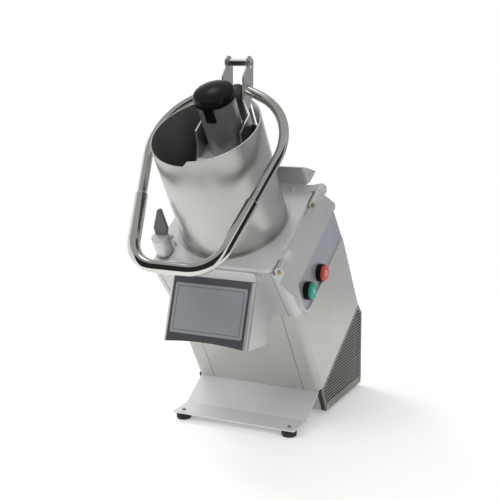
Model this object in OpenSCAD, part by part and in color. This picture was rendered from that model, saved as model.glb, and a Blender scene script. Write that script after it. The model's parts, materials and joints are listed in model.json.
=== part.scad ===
// Vegetable cutting machine: a head that leans forward on a wedge stand.
// The head is drawn upright, with the spindle along Z and the chamber's rim at Z = 0, and leaned last.

/* [Stance] */
// Lean of the head towards the front, degrees
tilt = 32; // [26:1:38]
// Height of the rim's centre above the table
head_h = 354; // [340:1:380]
// Place of the rim's centre, front to back
head_y = -35; // [-60:1:0]

/* [Feed cylinder] */
// Outer radius of the feed cylinder
cyl_r = 90; // [84:0.5:96]
// Wall of the feed cylinder
cyl_wall = 2; // [1.5:0.1:3]
// Rim of the feed cylinder above the chamber's rim
cyl_top = 202; // [190:1:214]
// Drop of the cylinder's rim on the left
rim_drop = 10; // [6:1:14]
// Where the lowered rim begins, right of the axis
rim_step_x = 9; // [0:1:20]
// Room beside the cheeks in the slot of the rear wall
slot_room = 9; // [6:1:14]
// Depth of that slot below the rim
slot_deep = 52; // [46:1:60]
// Reach of the flange at the cylinder's foot
flange_out = 5; // [3:0.5:7]
// Thickness of that flange
flange_t = 2; // [1.5:0.1:3]

/* [Body] */
// Width over the side panels
body_w = 242; // [236:1:256]
// Rim to the underside of the body
body_deep = 307; // [300:1:324]
// Radius of the body's front corners
corner_r = 12; // [8:1:16]
// Radius of the body's rear corners
rear_r = 4; // [3:0.5:8]
// Thickness of the panels
sheet = 1.5; // [1:0.1:2.5]
// Seams of the front and rear panels, in from the body's sides
seam_in = 33; // [26:1:44]
// Gap at the panel seams
seam_gap = 0.4; // [0.2:0.1:0.8]
// Thickness of the bottom plate
bottom_t = 2; // [1.5:0.1:3]

/* [Casting] */
// Height of the base casting at its sides
casting_h = 141; // [136:1:150]
// Depth of the casting's front edge below the rim
front_edge = 116; // [112:1:124]
// How far its front overhangs the front panel at the rim
front_lean = 24; // [16:1:28]
// Casting in front of the chamber at the rim
front_wall = 8; // [6:0.5:12]
// Depth of the sloping shoulders
shoulder_h = 66; // [50:1:72]
// How far the shoulders slope in
shoulder_in = 9; // [5:0.5:11]
// Width of the bevel between rim and shoulder
rim_bevel = 4; // [2:0.5:5]
// Wall of the casting
wall = 5; // [4:0.5:7]
// Room from the feed cylinder out to the chamber's wall
chamber_room = 8; // [6:0.5:10]
// Depth of the cutting chamber
chamber_deep = 72; // [66:1:78]
// Thickness of the chamber's floor
floor_t = 6; // [5:0.5:9]
// Step from the spout's inside to the outlet on each side
outlet_step = 5; // [3:0.5:8]
// Height of the bridge left over the outlet
outlet_bridge = 8; // [6:0.5:12]
// Length of the rear deck
deck_len = 36; // [28:1:42]
// Drop of the rear deck
deck_drop = 60; // [36:1:66]
// Depth of the button recess at its upper edge
recess_deep = 8; // [4:0.5:9]
// Depth of the button recess at its lower edge
recess_low = 3; // [2:0.5:6]
// Front end of the button recess behind the front panel
recess_front = 22; // [18:1:34]
// Wall below the button recess
recess_sill = 4; // [3:0.5:10]
// Run of the slope where the panels' upper edge drops from the front to the sides
edge_run = 18; // [12:1:26]
// Corner radius of the button recess
recess_r = 24; // [14:1:30]
// Grooves down the casting's front, in from its sides
groove_in = 16.5; // [14:0.5:20]
// Width of those grooves
groove_w = 1.4; // [1:0.1:2]
// Depth of those grooves
groove_deep = 1.5; // [1:0.1:2.5]

/* [Spout] */
// Width over the spout's side walls
spout_w = 154; // [140:1:164]
// Wall of the spout
spout_wall = 4; // [3:0.5:5]
// Slope of the spout below the rim's plane, degrees
spout_slope = 39.5; // [36:0.5:44]
// Length of the spout's front plate
spout_plate = 110; // [100:1:120]
// Depth of the spout behind the front plate
spout_deep = 70; // [64:1:76]
// How much shorter the spout's floor is than its front plate
spout_short = 15; // [10:1:22]
// Foot of the spout above the casting's front edge
spout_foot = 9; // [6:1:14]
// How far the spout's upper edge stands in front of the casting
spout_brow = 6; // [4:0.5:8]
// Drop of the front plate's upper edge below the rim
spout_top = 20; // [16:1:26]
// Rise of the arch in the plate's lower edge
spout_arch = 5; // [2:0.5:8]
// Rounding of the front plate's side edges
plate_round = 8; // [5:0.5:10]
// Thickness of the spout's flange on the casting
apron_t = 2; // [1.5:0.1:3]
// Reach of that flange beside the spout at the top
apron_out = 11; // [8:0.5:14]
// Taper of that flange from top to bottom
apron_taper = 13; // [10:0.5:16]
// Rim of the front plate beside the bare plate on it
label_side = 12; // [8:1:20]
// Rim of the front plate above the bare plate
label_head = 12; // [8:1:20]
// Rim of the front plate below the bare plate
label_foot = 16; // [12:1:24]
// Thickness of the bare plate
label_t = 1; // [0.6:0.1:1.5]

/* [Stand] */
// Thickness of the foot plate
foot_t = 2.5; // [2:0.1:3.5]
// Edge of the foot plate, in from the body's side
foot_in = 5; // [2:0.5:10]
// Depth of the foot plate's flat strip
foot_flat = 54; // [40:1:66]
// Reach of the foot plate in front of the body's lower edge
foot_reach = 111; // [100:1:125]
// Height of the front feet
front_foot_h = 12.5; // [10:0.5:16]
// Radius of the rubber feet
foot_r = 13; // [10:0.5:15]
// Height of the rear feet
rear_foot_h = 7; // [5:0.5:10]
// Lower front corner of the louvred covers, behind the body's lower edge
cover_front = 25; // [18:1:34]
// Rear of the louvred covers, behind the body's rear edge
cover_back = 24; // [20:1:34]
// Drop of the covers' rear corner below the body's rear edge
cover_drop = 21; // [10:1:28]
// Thickness of a louvred cover
cover_t = 9; // [6:0.5:12]
// Skin of the louvred covers
cover_skin = 2.5; // [1.5:0.1:3.5]
// Sheet of the stand's frame
frame_t = 2; // [1.5:0.1:3]
// Rise from slot to slot of the louvres
louvre_pitch = 5.6; // [5:0.1:8]
// Height of a louvre slot
louvre_slot = 2.8; // [2:0.1:3.4]
// Solid strip below the louvres
louvre_foot = 15; // [10:1:20]
// Solid border around the louvres
louvre_border = 7; // [5:0.5:10]

/* [Lid] */
// Thickness of the lid plate
lid_t = 8; // [6:0.5:10]
// Gap under the closed lid
lid_gap = 0.3; // [0.2:0.1:0.6]
// Edge of the lid plate, in from the body's side
lid_in = 10; // [5:0.5:13]
// Rear edge of the lid plate behind the chamber's wall
lid_back = 1.5; // [0:0.5:3]
// Corner radius of the lid plate
lid_r = 14; // [8:1:18]
// Small boss on the lid, in from the lid's right edge
lid_boss_in = 39; // [30:1:46]

/* [Hinge] */
// Hinge axis above the rim
hinge_z = 5; // [4:0.5:7]
// Radius of the hinge knuckles
knuckle_r = 8; // [7:0.5:10]
// Radius of the hinge pins
pin_r = 4; // [3:0.5:5]
// Length of each knuckle of the front hinge
knuckle_len = 22; // [18:1:24]
// Length of the casting's knuckle of the rear hinge
rear_knuckle = 30; // [24:1:34]
// Length of the lid's knuckle of the rear hinge
rear_tab = 18; // [14:1:22]
// Front hinge behind the lid's front edge
hinge_set = 1; // [0:0.5:4]
// Gap between knuckles
knuckle_gap = 0.5; // [0.4:0.1:1]
// Reach of the knuckles' webs down the shoulder
web_deep = 24; // [18:1:44]
// Running clearance of pins and shafts
run = 0.05; // [0.03:0.01:0.08]

/* [Guide] */
// Gap between the guide's boss and the casting
boss_gap = 2; // [0.5:0.1:3]
// Radius of the guide rod
rod_r = 9; // [7:0.5:10]
// Outer radius of the sleeve
sleeve_r = 15; // [13:0.5:17]
// Clearance of the sleeve in the guide's boss
sleeve_gap = 0.5; // [0.3:0.1:1]
// Wall of the guide's boss around the bush
boss_wall = 2; // [1.5:0.1:4]
// How far the boss reaches below the rim
boss_deep = 60; // [50:1:62]
// Thickness of the boss's floor
boss_floor = 4; // [3:0.5:6]
// Top of the sleeve's dome below the cylinder's rim
sleeve_drop = 9; // [4:1:14]
// Top of the boss above the rim
boss_top = 34; // [28:1:38]
// Width of the guide housing
house_w = 194; // [150:2:200]
// Slope of the guide housing's top, degrees
house_fall = 46; // [44:1:60]
// Top of the guide housing above the rim
house_top = 44; // [40:1:50]
// Radius of the guide housing's upright corners
house_r = 9; // [4:1:12]
// Radius of the guide housing's upper corners
house_edge = 5; // [3:0.5:8]
// Height of the guide bush
bush_h = 14; // [10:1:18]
// Wall of the guide bush
bush_wall = 2; // [1.5:0.5:4]

/* [Pusher] */
// Gap between the sleeve and each cheek
cheek_gap = 2; // [1.5:0.5:4]
// Gap between the feed tube and each cheek
cheek_room = 7; // [5:0.5:9]
// Thickness of the cheeks
cheek_t = 3; // [2:0.5:4]
// Gap between the pusher plate and the cylinder
plate_gap = 2; // [1.5:0.5:4]
// Thickness of the pusher plate
plate_t = 8; // [6:0.5:10]
// Underside of the pusher plate above the rim
plate_z = 6; // [4:0.5:8]
// Gap between the feed tube and the cylinder
tube_gap = 4; // [3.5:0.5:7]
// Outer radius of the feed tube
tube_r = 31; // [27:0.5:33]
// Wall of the feed tube
tube_wall = 2; // [1.5:0.1:2.5]
// Rise of the feed tube above the cylinder's rim
tube_rise = 15; // [10:1:22]
// Width of the key slot in the feed tube
key_w = 18; // [12:1:22]
// Depth of the key slot
key_deep = 26; // [18:1:34]
// Cheeks in front of the feed tube
cheek_lead = 12; // [8:1:16]
// Shelf in front of the feed tube, below the cylinder's rim
shelf_drop = 80; // [72:1:88]
// Thickness of the shelf
shelf_t = 4; // [3:0.5:6]
// Radius of the roll along the shelf's front
roll_r = 8; // [6:0.5:10]
// Cross bar behind the guide rod
bar_back = 30; // [26:1:34]
// Cross bar above the cylinder's rim
bar_rise = 15; // [12:1:20]
// Radius of the cross bar
bar_r = 6; // [4:0.5:8]
// Radius of the ears around the cross bar
ear_r = 11; // [9.5:0.5:14]
// Height of the cross bar's bolt heads
bolt_h = 4; // [3:0.5:6]

/* [Hoop] */
// Radius of the hoop's tube
hoop_r = 8; // [7:0.5:9]
// Radius of the hoop's grip
grip_r = 10; // [9:0.5:11]
// Slope of the hoop's plane, degrees
hoop_slope = 17; // [15:0.5:19]
// Room between the feed cylinder and the middle of the hoop's sides
hoop_room = 25; // [22:0.5:30]
// Reach of the hoop in front of the feed cylinder
hoop_front = 112; // [100:1:124]
// Bend radius of the hoop's rear arcs
hoop_rear_r = 109; // [104:0.5:114]
// Turn of the hoop's rear arcs behind their middle, degrees
hoop_rear_a = 65; // [60:1:70]
// Centres of the rear arcs in front of the guide, beyond their radius
hoop_set = 9; // [5:1:13]
// Bend radius of the hoop's front corners
hoop_front_r = 52; // [44:1:58]
// Taper of the hoop's sides, degrees
hoop_taper = 12; // [10:0.5:14]
// Where the grip begins, in front of the guide
grip_start = 218; // [200:1:236]
// Hoop's plane at the guide, below the cylinder's rim
hoop_drop = 12; // [9:1:15]

/* [Pestle] */
// Clearance of the pestle in the feed tube
pestle_gap = 1; // [0.6:0.1:1.5]
// Reach of the pestle's cap over the feed tube
cap_over = 3; // [2:0.5:4]
// Height of the pestle's cap
cap_h = 20; // [17:1:24]
// Rounding of the cap's edge
cap_round = 14; // [10:1:17]
// Radius of the cap's crown
cap_crown = 80; // [60:1:120]

/* [Controls] */
// Green button behind the front end of the recess
start_back = 31; // [22:1:34]
// Distance from the green to the red button
button_step = 56; // [44:1:62]
// Green button above the casting's lower edge
start_up = 32; // [28:0.5:38]
// Red button above the casting's lower edge
stop_up = 20; // [18:0.5:26]
// Radius of a button
button_r = 14; // [11:0.5:15]
// Reach of the buttons beyond the side panels
button_out = 9; // [8:0.5:13]
// Wall of the black collars
collar_wall = 1.7; // [1.5:0.1:5]
// Height of the collars
collar_h = 12; // [8:0.5:15]
// Travel of the buttons
press = 3; // [2:0.5:4]
// Radius of the buttons' stems
stem_r = 5; // [4:0.5:6]

/* [Latch] */
// Knob axis, in from the body's side
knob_in = 28; // [24:0.5:34]
// Knob axis, behind the lid's front edge
knob_set = 24; // [20:0.5:30]
// Radius of the knob's drum
drum_r = 15; // [12:0.5:17]
// Top of the drum above the rim
drum_top = 37; // [30:1:44]
// Gap between the drum and the lid's cut corner
drum_gap = 3; // [2:0.5:5]
// Reach of the lid's notch behind the knob axis
notch_len = 36; // [30:1:42]
// Length of the wing along its slope
wing_h = 42; // [34:1:48]
// Lean of the wing to the rear, degrees
wing_lean = 24; // [16:1:28]
// Thickness of the wing
wing_t = 8; // [6:0.5:11]
// Half of the wing's width at its widest
wing_half = 12.5; // [10:0.5:14]
// Radius of the wing's tip
wing_tip = 4; // [3:0.5:7]
// Thickness of the washer under the drum
stud_t = 3; // [2:0.5:5]
// Radius of the latch pin
latch_pin_r = 5; // [4:0.5:6]

/* [Drive] */
// Radius of the spindle
spindle_r = 10; // [8:0.5:12]
// Ring of the bearings around the spindle
bearing_ring = 16; // [13:0.5:18]
// Height of one bearing
bearing_h = 14; // [10:1:16]
// Wall of the bearing housing
bearing_wall = 8; // [6:0.5:10]
// Height of the bearing housing
bearing_house_h = 58; // [52:1:64]
// Ring of the shaft seal around the spindle
seal_ring = 10; // [7:0.5:12]
// Radius of the spindle pulley
big_r = 48; // [42:1:50]
// Radius of the motor pulley
small_r = 18; // [14:1:20]
// Height of the pulleys
pulley_h = 16; // [12:1:20]
// Gap between the pulleys
pulley_gap = 6; // [4:0.5:8]
// Thickness of the belt
belt_t = 4; // [3:0.5:5]
// Radius of the motor
motor_r = 52; // [46:1:54]
// Gap between the motor and the bottom plate
motor_room = 18; // [12:1:30]
// Radius of the motor's shaft
motor_shaft_r = 7; // [5:0.5:9]
// Thickness of the motor mount
mount_t = 6; // [4:0.5:8]
// Radius of the motor mount's pillars
pillar_r = 6; // [5:0.5:8]
// Gap between the cutting disc and the chamber
disc_gap = 5.5; // [4:0.5:8]
// Thickness of the cutting disc
disc_t = 3; // [2:0.1:4]
// Top of the cutting disc below the rim
disc_drop = 11; // [10:0.5:14]
// Height of the blade on the disc
blade_h = 2.5; // [1.5:0.1:3.5]
// Height of the ejector plate over the chamber's floor
ejector_lift = 6; // [4:0.5:9]
// Height of the ejector plate's vanes
vane_h = 18; // [12:1:24]

/* [Hidden] */
$fn = 96;

// Reach of a cut past a face, resting gap of a moving piece, overlap of joined pieces
past = 1;
rest_gap = 0.3;
lap = 0.5;
// How much the straight runs of a bent tube are thicker than its bends
tube_step = 0.15;
alu = [0.74, 0.75, 0.76];
paint = [0.78, 0.78, 0.76];
steel = [0.66, 0.67, 0.68];
bronze = [0.7, 0.55, 0.3];
slate = [0.55, 0.57, 0.6];
green = [0.05, 0.5, 0.36];
red = [0.85, 0.16, 0.1];
dark = [0.2, 0.2, 0.21];
black = [0.05, 0.05, 0.05];

// Casting
half = body_w / 2;
chamber_r = cyl_r + chamber_room;
deck_y = chamber_r + wall;
body_front = chamber_r + front_wall - front_lean;
body_rear = deck_y + deck_len;
seam_x = half - seam_in;
lean_a = atan(front_lean / casting_h);
shoulder_x = half - shoulder_in;
cavity_top = chamber_deep + floor_t;
recess_x = half - recess_deep;
cavity_half = recess_x - wall;
recess_y = recess_front - body_front;
recess_floor = recess_sill - casting_h;
edge_front = corner_r - body_front;
edge_rear = edge_front + edge_run;
outlet_half = spout_w / 2 - spout_wall - outlet_step;
seal_r = spindle_r + seal_ring;
function front_y(z) = -body_front - front_lean * (casting_h + z) / casting_h;
function shoulder_at(z) = shoulder_x + shoulder_in * (-rim_bevel - z) / (shoulder_h - rim_bevel);

// Spout, in the plane Y, Z of the head
spout_dir = [-cos(spout_slope), -sin(spout_slope)];
spout_back = [sin(spout_slope), -cos(spout_slope)];
spout_a = [front_y(-spout_top) - spout_brow, -spout_top];
spout_b = spout_a + spout_plate * spout_dir;
spout_c = spout_a + spout_deep * spout_back + (spout_plate - spout_short) * spout_dir;
spout_low_z = spout_foot - front_edge;
label_w = spout_w - 2 * label_side;
label_h = spout_plate - label_head - label_foot;
label_r = 3;

// Lid and hinge
lid_half = half - lid_in;
lid_front = front_y(0);
lid_rear = deck_y + lid_back;
hinge_x = half;
hinge_lens = [knuckle_len, rear_knuckle];
tab_lens = [knuckle_len, rear_tab];
hinge_ys = [lid_front + hinge_set, lid_rear - rear_tab - knuckle_gap - rear_knuckle];
tab_ys = [for (i = [0, 1]) hinge_ys[i] + hinge_lens[i] + knuckle_gap];
pin_out = 1.5;
knuckle_room = 1;

// Guide, behind the spindle
boss_r = sleeve_r + bush_wall + boss_wall;
guide_y = deck_y + boss_gap + boss_r;
house_y = lid_rear;
boss_low = boss_floor - boss_deep;
house_crown = 2;
bush_z = boss_top - bush_h;
sleeve_top = cyl_top - sleeve_drop;
dome_z = sleeve_top - sleeve_r;
rod_top = dome_z - rod_r;
pocket_gap = 5;
pocket_left = norm([hinge_x + boss_r, boss_deep + hinge_z]) - hinge_x + pocket_gap;
tongue_half = house_w / 2 - house_r;
tongue_r = 8;
tongue_rear = guide_y + boss_r + 2 * boss_gap;
house_screw_r = 5;
house_screw_h = 4;

// Pusher
cyl_in = cyl_r - cyl_wall;
slot_z = cyl_top - slot_deep;
tube_in = tube_r - tube_wall;
tube_y = cyl_in - tube_r - tube_gap;
tube_top = cyl_top + tube_rise;
plate_r = cyl_in - plate_gap;
plate_top = plate_z + plate_t;
cheek_in = sleeve_r + cheek_gap;
cheek_out = tube_r + cheek_room;
cheek_front = tube_y - tube_r - cheek_lead;
cheek_rear = sqrt(pow(cyl_in, 2) - pow(cheek_out + cheek_t, 2)) - slot_room;
cheek_lift = 4;
cheek_foot = slot_z + cheek_lift;
slot_half = cheek_out + cheek_t + slot_room;
flare_set = 6;
flare = [cheek_rear + flare_set, guide_y - boss_r];
cheek_back = ear_r + cheek_lift + past;
cheek_nick = 2;
shelf_z = cyl_top - shelf_drop;
bar_y = guide_y + bar_back;
bar_z = cyl_top + bar_rise;
cap_foot = tube_top + rest_gap;
cap_r = tube_r + cap_over;
pestle_r = tube_in - pestle_gap;
key_gap = 1;

// Hoop, in its own plane: X to the right, Y towards the front
hoop_z = cyl_top - hoop_drop;
hoop_end = cheek_in + cheek_t;
hoop_half = cyl_r + hoop_room;
hoop_len = (guide_y + cyl_r + hoop_front) / cos(hoop_slope);
hoop_c = [hoop_half - hoop_rear_r, hoop_rear_r + hoop_set];
hoop_dir = [-sin(hoop_taper), cos(hoop_taper)];
hoop_in = [-cos(hoop_taper), -sin(hoop_taper)];
function on_rear(a) = hoop_c + hoop_rear_r * [cos(a), sin(a)];
hoop_p1 = on_rear(-hoop_rear_a);
hoop_p2 = on_rear(hoop_taper);
hoop_run = (hoop_len - hoop_front_r - hoop_p2.y - hoop_front_r * hoop_in.y) / hoop_dir.y;
hoop_p3 = hoop_p2 + hoop_run * hoop_dir;
hoop_fc = hoop_p3 + hoop_front_r * hoop_in;
hoop_seam = hoop_p2 + (grip_start - hoop_p2.y) / hoop_dir.y * hoop_dir;
hoop_root_dir = [-sin(hoop_rear_a), -cos(hoop_rear_a)];
hoop_p0 = hoop_p1 + (hoop_p1.x - hoop_end + hoop_r) / sin(hoop_rear_a) * hoop_root_dir;

// Controls and latch
button_at = [[recess_y + start_back, start_up - casting_h],
    [recess_y + start_back + button_step, stop_up - casting_h]];
collar_floor = 2;
shank_step = 1;
shank_r = button_r - shank_step;
button_edge = 1.5;
stem_in = 10;
contact_half = 15;
contact_deep = 26;
knob_x = half - knob_in;
knob_y = -lid_front - knob_set;
drum_cap = 3;

// Drive, heights below the rim
bearing_r = spindle_r + bearing_ring;
bearing_set = 4;
bearing_zs = [-cavity_top - bearing_set - bearing_h, -cavity_top - bearing_house_h];
bearing_lip = 5;
bearing_flange = 20;
bearing_flange_t = 8;
pulley_drop = 12;
pulley_top = -cavity_top - bearing_house_h - pulley_drop;
pulley_low = pulley_top - pulley_h;
mount_drop = 10;
mount_top = pulley_low - mount_drop;
motor_top = mount_top - mount_t;
motor_low = bottom_t - body_deep + motor_room;
motor_y = big_r + small_r + pulley_gap;
motor_wall = 5;
rotor_gap = 11;
pillar_out = 12;
pillar_in = 8;
pillar_at = [motor_r + pillar_out, motor_r - pillar_in];
mount_rim = 2;
disc_r = chamber_r - disc_gap;
disc_z = -disc_drop - disc_t;
hub_ring = 10;
hub_r = spindle_r + hub_ring;
hub_h = 14;
blade_root = 6;
blade_in = hub_r + blade_root;
blade_edge = 8;
blade_slot = 9;
blade_w = 17;
ejector_z = ejector_lift - chamber_deep;
ejector_in = 2.5;
ejector_r = disc_r - ejector_in;
ejector_t = 4;
vane_t = 4;
shaft_end = 3;

// Stand, in the world's Y and Z
function world(y, z) = [y * cos(tilt) - z * sin(tilt) + head_y, y * sin(tilt) + z * cos(tilt) + head_h];
belly = -body_deep - rest_gap;
stand_in = 2;
stand_front = world(stand_in - body_front, belly);
stand_rear = world(body_rear - stand_in, belly);
stand_lean = 3;
cover_low = [stand_rear.x + cover_back, rear_foot_h];
cover_points = [stand_front, [stand_front.x + cover_front, rear_foot_h], cover_low,
    [cover_low.x - stand_lean, stand_rear.y - cover_drop], stand_rear];
cover_in = half - cover_t;
foot_half = half - foot_in;
foot_start = stand_front.x - foot_reach;
foot_bend = foot_start + foot_flat;
foot_top = front_foot_h + foot_t;
foot_edge = 2;
foot_corner = 4;
screw_r = 1.8;
screw_gap = 0.1;
screw_head_r = 3.4;
screw_head_h = 1.6;
cover_screw_at = inset(cover_points, louvre_border);

// Places a head piece in the world
module lean() { translate([0, head_y, head_h]) rotate([tilt, 0, 0]) children(); }
// Stands a piece on the casting's sloping front, Z up the slope from the front panel's plane
module on_front() { translate([0, -body_front, -casting_h]) rotate([lean_a, 0, 0]) children(); }
// Lays a piece on the spout's front plate, Y up the plate to its upper edge
module on_plate() { translate([0, spout_a.x, spout_a.y]) rotate([spout_slope, 0, 0]) children(); }
// Extrudes a Y, Z outline along X
module along_x(x0, x1) { translate([x0, 0, 0]) rotate([90, 0, 90]) linear_extrude(x1 - x0) children(); }
// Extrudes an X, Z outline along Y
module along_y(y0, y1) { translate([0, y1, 0]) rotate([90, 0, 0]) linear_extrude(y1 - y0) children(); }
// Box between two corners
module block(a, b) { translate(a) cube(b - a); }
// Upright cylinder between two heights
module post(r, z0, z1) { translate([0, 0, z0]) cylinder(r = r, h = z1 - z0); }
// Cylinder along X between two places
module rod_x(r, x0, x1) { translate([x0, 0, 0]) rotate([0, 90, 0]) cylinder(r = r, h = x1 - x0); }
// Cylinder along Y between two places
module rod_y(r, y0, y1) { translate([0, y1, 0]) rotate([90, 0, 0]) cylinder(r = r, h = y1 - y0); }
// Both sides of what stands on the right
module both_sides() { for (m = [0, 1]) mirror([m, 0, 0]) children(); }
// Rectangle with round corners
module rounded(x0, x1, y0, y1, r) {
    translate([x0 + r, y0]) square([x1 - x0 - 2 * r, y1 - y0]);
    translate([x0, y0 + r]) square([x1 - x0, y1 - y0 - 2 * r]);
    for (x = [x0 + r, x1 - r], y = [y0 + r, y1 - r]) translate([x, y]) circle(r);
}
function unit(v) = v / norm(v);
function left_of(v) = [-v.y, v.x];
// Where two lines cross, each given by a point and a direction
function cross_at(p, u, q, v) = p + u * ((q - p).x * v.y - (q - p).y * v.x) / (u.x * v.y - u.y * v.x);
// Outline moved in by d, for a convex outline that runs anticlockwise
function inset(p, d) = let (n = len(p)) [for (i = [0:n - 1]) let (
    a = p[(i + n - 1) % n], b = p[i], c = p[(i + 1) % n], u = unit(b - a), v = unit(c - b))
    cross_at(b + d * left_of(u), u, b + d * left_of(v), v)];

// Outline of the body seen from above, moved in by d
module body_outline(d) {
    rounded(d - half, half - d, d - body_front, body_rear / 2, corner_r - d);
    rounded(d - half, half - d, -body_front / 2, body_rear - d, rear_r - d);
}
module knuckle(y, l) { translate([hinge_x, 0, hinge_z]) rod_y(knuckle_r, y, y + l); }
module hinge_bores() {
    translate([hinge_x, 0, hinge_z]) rod_y(pin_r + run, lid_front - knuckle_len, body_rear);
}
// Block of the casting: shoulders seen from the front, slopes seen from the side, round corners
module casting_form() {
    outline = [[-half, -casting_h], [half, -casting_h], [half, -shoulder_h], [shoulder_x, -rim_bevel],
        [shoulder_x - rim_bevel, 0], [rim_bevel - shoulder_x, 0], [-shoulder_x, -rim_bevel],
        [-half, -shoulder_h]];
    side = [[body_rear, -casting_h], [body_rear, -deck_drop], [deck_y, 0], [lid_front, 0],
        [-body_front, -casting_h]];
    intersection() {
        along_y(lid_front - past, body_rear + past) polygon(outline);
        along_x(-half - past, half + past) polygon(side);
        on_front() translate([0, 0, -casting_h]) linear_extrude(3 * casting_h)
            rounded(-half, half, 0, 4 * body_rear, corner_r);
        translate([0, 0, -casting_h - past]) linear_extrude(casting_h + 2 * past)
            rounded(-half, half, -4 * body_front, body_rear, rear_r);
    }
}
// Recess around the buttons: its floor leans out towards its lower edge, with a flat seat for each collar
module button_recess() {
    tall = -shoulder_h - recess_floor;
    out = half + 2 * past;
    intersection() {
        along_x(recess_x - past, half + past) {
            translate([recess_y + recess_r, recess_floor]) square([2 * body_rear, tall]);
            translate([recess_y, recess_floor + recess_r]) square([2 * body_rear, tall - recess_r]);
            translate([recess_y + recess_r, recess_floor + recess_r]) circle(recess_r);
        }
        along_y(-2 * body_front, 3 * body_rear) polygon([[recess_x, past - shoulder_h],
            [half - recess_low, recess_floor - past], [out, recess_floor - past], [out, past - shoulder_h]]);
    }
    for (p = button_at) translate([0, p.x, p.y]) rod_x(button_r + collar_wall + run, recess_x, half + past);
}
module base_knuckles() {
    web = [[shoulder_x - rim_bevel, -1.5 * rim_bevel], [shoulder_at(-web_deep) - past, -web_deep],
        [hinge_x + knuckle_r, hinge_z], [hinge_x - knuckle_r + knuckle_room, 0]];
    for (i = [0, 1]) {
        knuckle(hinge_ys[i], hinge_lens[i]);
        along_y(hinge_ys[i], hinge_ys[i] + hinge_lens[i]) polygon(web);
    }
}
// What the front panel and the corners of the side panels take from the casting
module panel_rebate() {
    difference() {
        along_x(-half - past, half + past) polygon([[lid_front, -front_edge], [lid_front, -casting_h - past],
            [edge_rear, -casting_h - past], [edge_rear, -casting_h], [edge_front, -front_edge]]);
        translate([0, 0, -2 * casting_h]) linear_extrude(2 * casting_h) body_outline(sheet);
    }
}
module front_grooves() {
    x = half - groove_in;
    both_sides() on_front()
        block([x - groove_w / 2, -casting_h, 0], [x + groove_w / 2, groove_deep, 2 * casting_h]);
}
module base_casting() {
    color(alu) lean() difference() {
        union() {
            difference() {
                casting_form();
                button_recess();
                panel_rebate();
                front_grooves();
            }
            base_knuckles();
        }
        hinge_bores();
        post(chamber_r, -chamber_deep, past);
        block([-outlet_half, lid_front - past, -chamber_deep], [outlet_half, 0, -outlet_bridge]);
        block([-cavity_half, wall - body_front, -casting_h - past],
            [cavity_half, body_rear - wall, -cavity_top]);
        post(seal_r, -cavity_top - past, 0);
        block([-pocket_left, deck_y, -boss_deep - pocket_gap],
            [boss_r + pocket_gap, body_rear + past, past]);
        for (p = button_at) translate([0, p.x, p.y]) rod_x(shank_r, 0, half);
    }
}

module outlet_spout() {
    w = spout_w / 2;
    slope = cos(lean_a);
    apron_low = (casting_h - front_edge + past) / slope;
    apron_top = (casting_h - rim_bevel) / slope;
    apron_x = w + apron_out;
    foot = [front_y(spout_low_z), spout_low_z];
    side = [spout_b, spout_c, foot, [front_y(-past), -past], [spout_a.x + past, -past], spout_a];
    inner_floor = spout_c - spout_wall * spout_back;
    inner_roof = spout_a + spout_wall * spout_back;
    reach = spout_plate * spout_dir;
    passage = [inner_roof + 1.5 * reach, inner_floor + 1.5 * reach, inner_floor,
        [foot.x - past, foot.y + spout_wall], [0, foot.y + spout_wall], [0, -outlet_bridge],
        [lid_front, -outlet_bridge], inner_roof];
    arch_half = w - spout_wall / 2;
    arch_r = (pow(arch_half, 2) + pow(spout_arch, 2)) / (2 * spout_arch);
    color(alu) lean() {
        difference() {
            intersection() {
                along_x(-w - past, w + past) polygon(side);
                on_plate() {
                    along_y(-2 * spout_plate, 0) rounded(-w, w, -4 * spout_deep, 0, plate_round);
                    block([-w, -past, -4 * spout_deep], [w, 2 * spout_plate, 2 * spout_deep]);
                }
            }
            along_x(spout_wall - w, w - spout_wall) polygon(passage);
            along_x(-w - past, w + past) polygon([[0, past], [front_y(past), past],
                [-body_front, -casting_h], [0, -casting_h]]);
            translate([0, spout_b.x, spout_b.y]) rotate([spout_slope, 0, 0])
                translate([0, spout_arch - arch_r, -spout_deep / 2])
                    cylinder(r = arch_r, h = spout_deep, $fn = 256);
        }
        difference() {
            on_front() along_y(-apron_t, 0) polygon([[-apron_x, apron_top],
                [apron_taper - apron_x, apron_low], [apron_x - apron_taper, apron_low],
                [apron_x, apron_top]]);
            along_x(spout_wall - w, w - spout_wall) polygon(passage);
        }
    }
}
module label_plate() {
    color(slate) lean() on_plate() linear_extrude(label_t)
        rounded(-label_w / 2, label_w / 2, -label_head - label_h, -label_head, label_r);
}

// Ring of sheet around the body, higher at the front and its corners
module body_skin() {
    difference() {
        translate([0, 0, -body_deep]) linear_extrude(body_deep - front_edge - seam_gap) difference() {
            body_outline(0);
            body_outline(sheet);
        }
        along_x(-half - past, half + past) polygon([[edge_front - seam_gap, 0],
            [edge_front - seam_gap, -front_edge - seam_gap], [edge_rear - seam_gap, -casting_h - seam_gap],
            [body_rear + past, -casting_h - seam_gap], [body_rear + past, 0]]);
    }
}
module side_panel() {
    intersection() {
        body_skin();
        block([seam_x, -body_front - past, -body_deep - past], [half + past, body_rear + past, 0]);
    }
}
module right_side_panel() color(paint) lean() side_panel();
module left_side_panel() color(paint) lean() mirror([1, 0, 0]) side_panel();
module middle_panel(y0, y1, top) {
    x = seam_x - seam_gap;
    color(paint) lean() block([-x, y0, -body_deep], [x, y1, -top - seam_gap]);
}
module front_panel() middle_panel(-body_front, sheet - body_front, front_edge);
module rear_panel() middle_panel(body_rear - sheet, body_rear, casting_h);
module bottom_plate() {
    color(paint) lean() translate([0, 0, -body_deep]) linear_extrude(bottom_t) body_outline(sheet);
}

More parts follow.
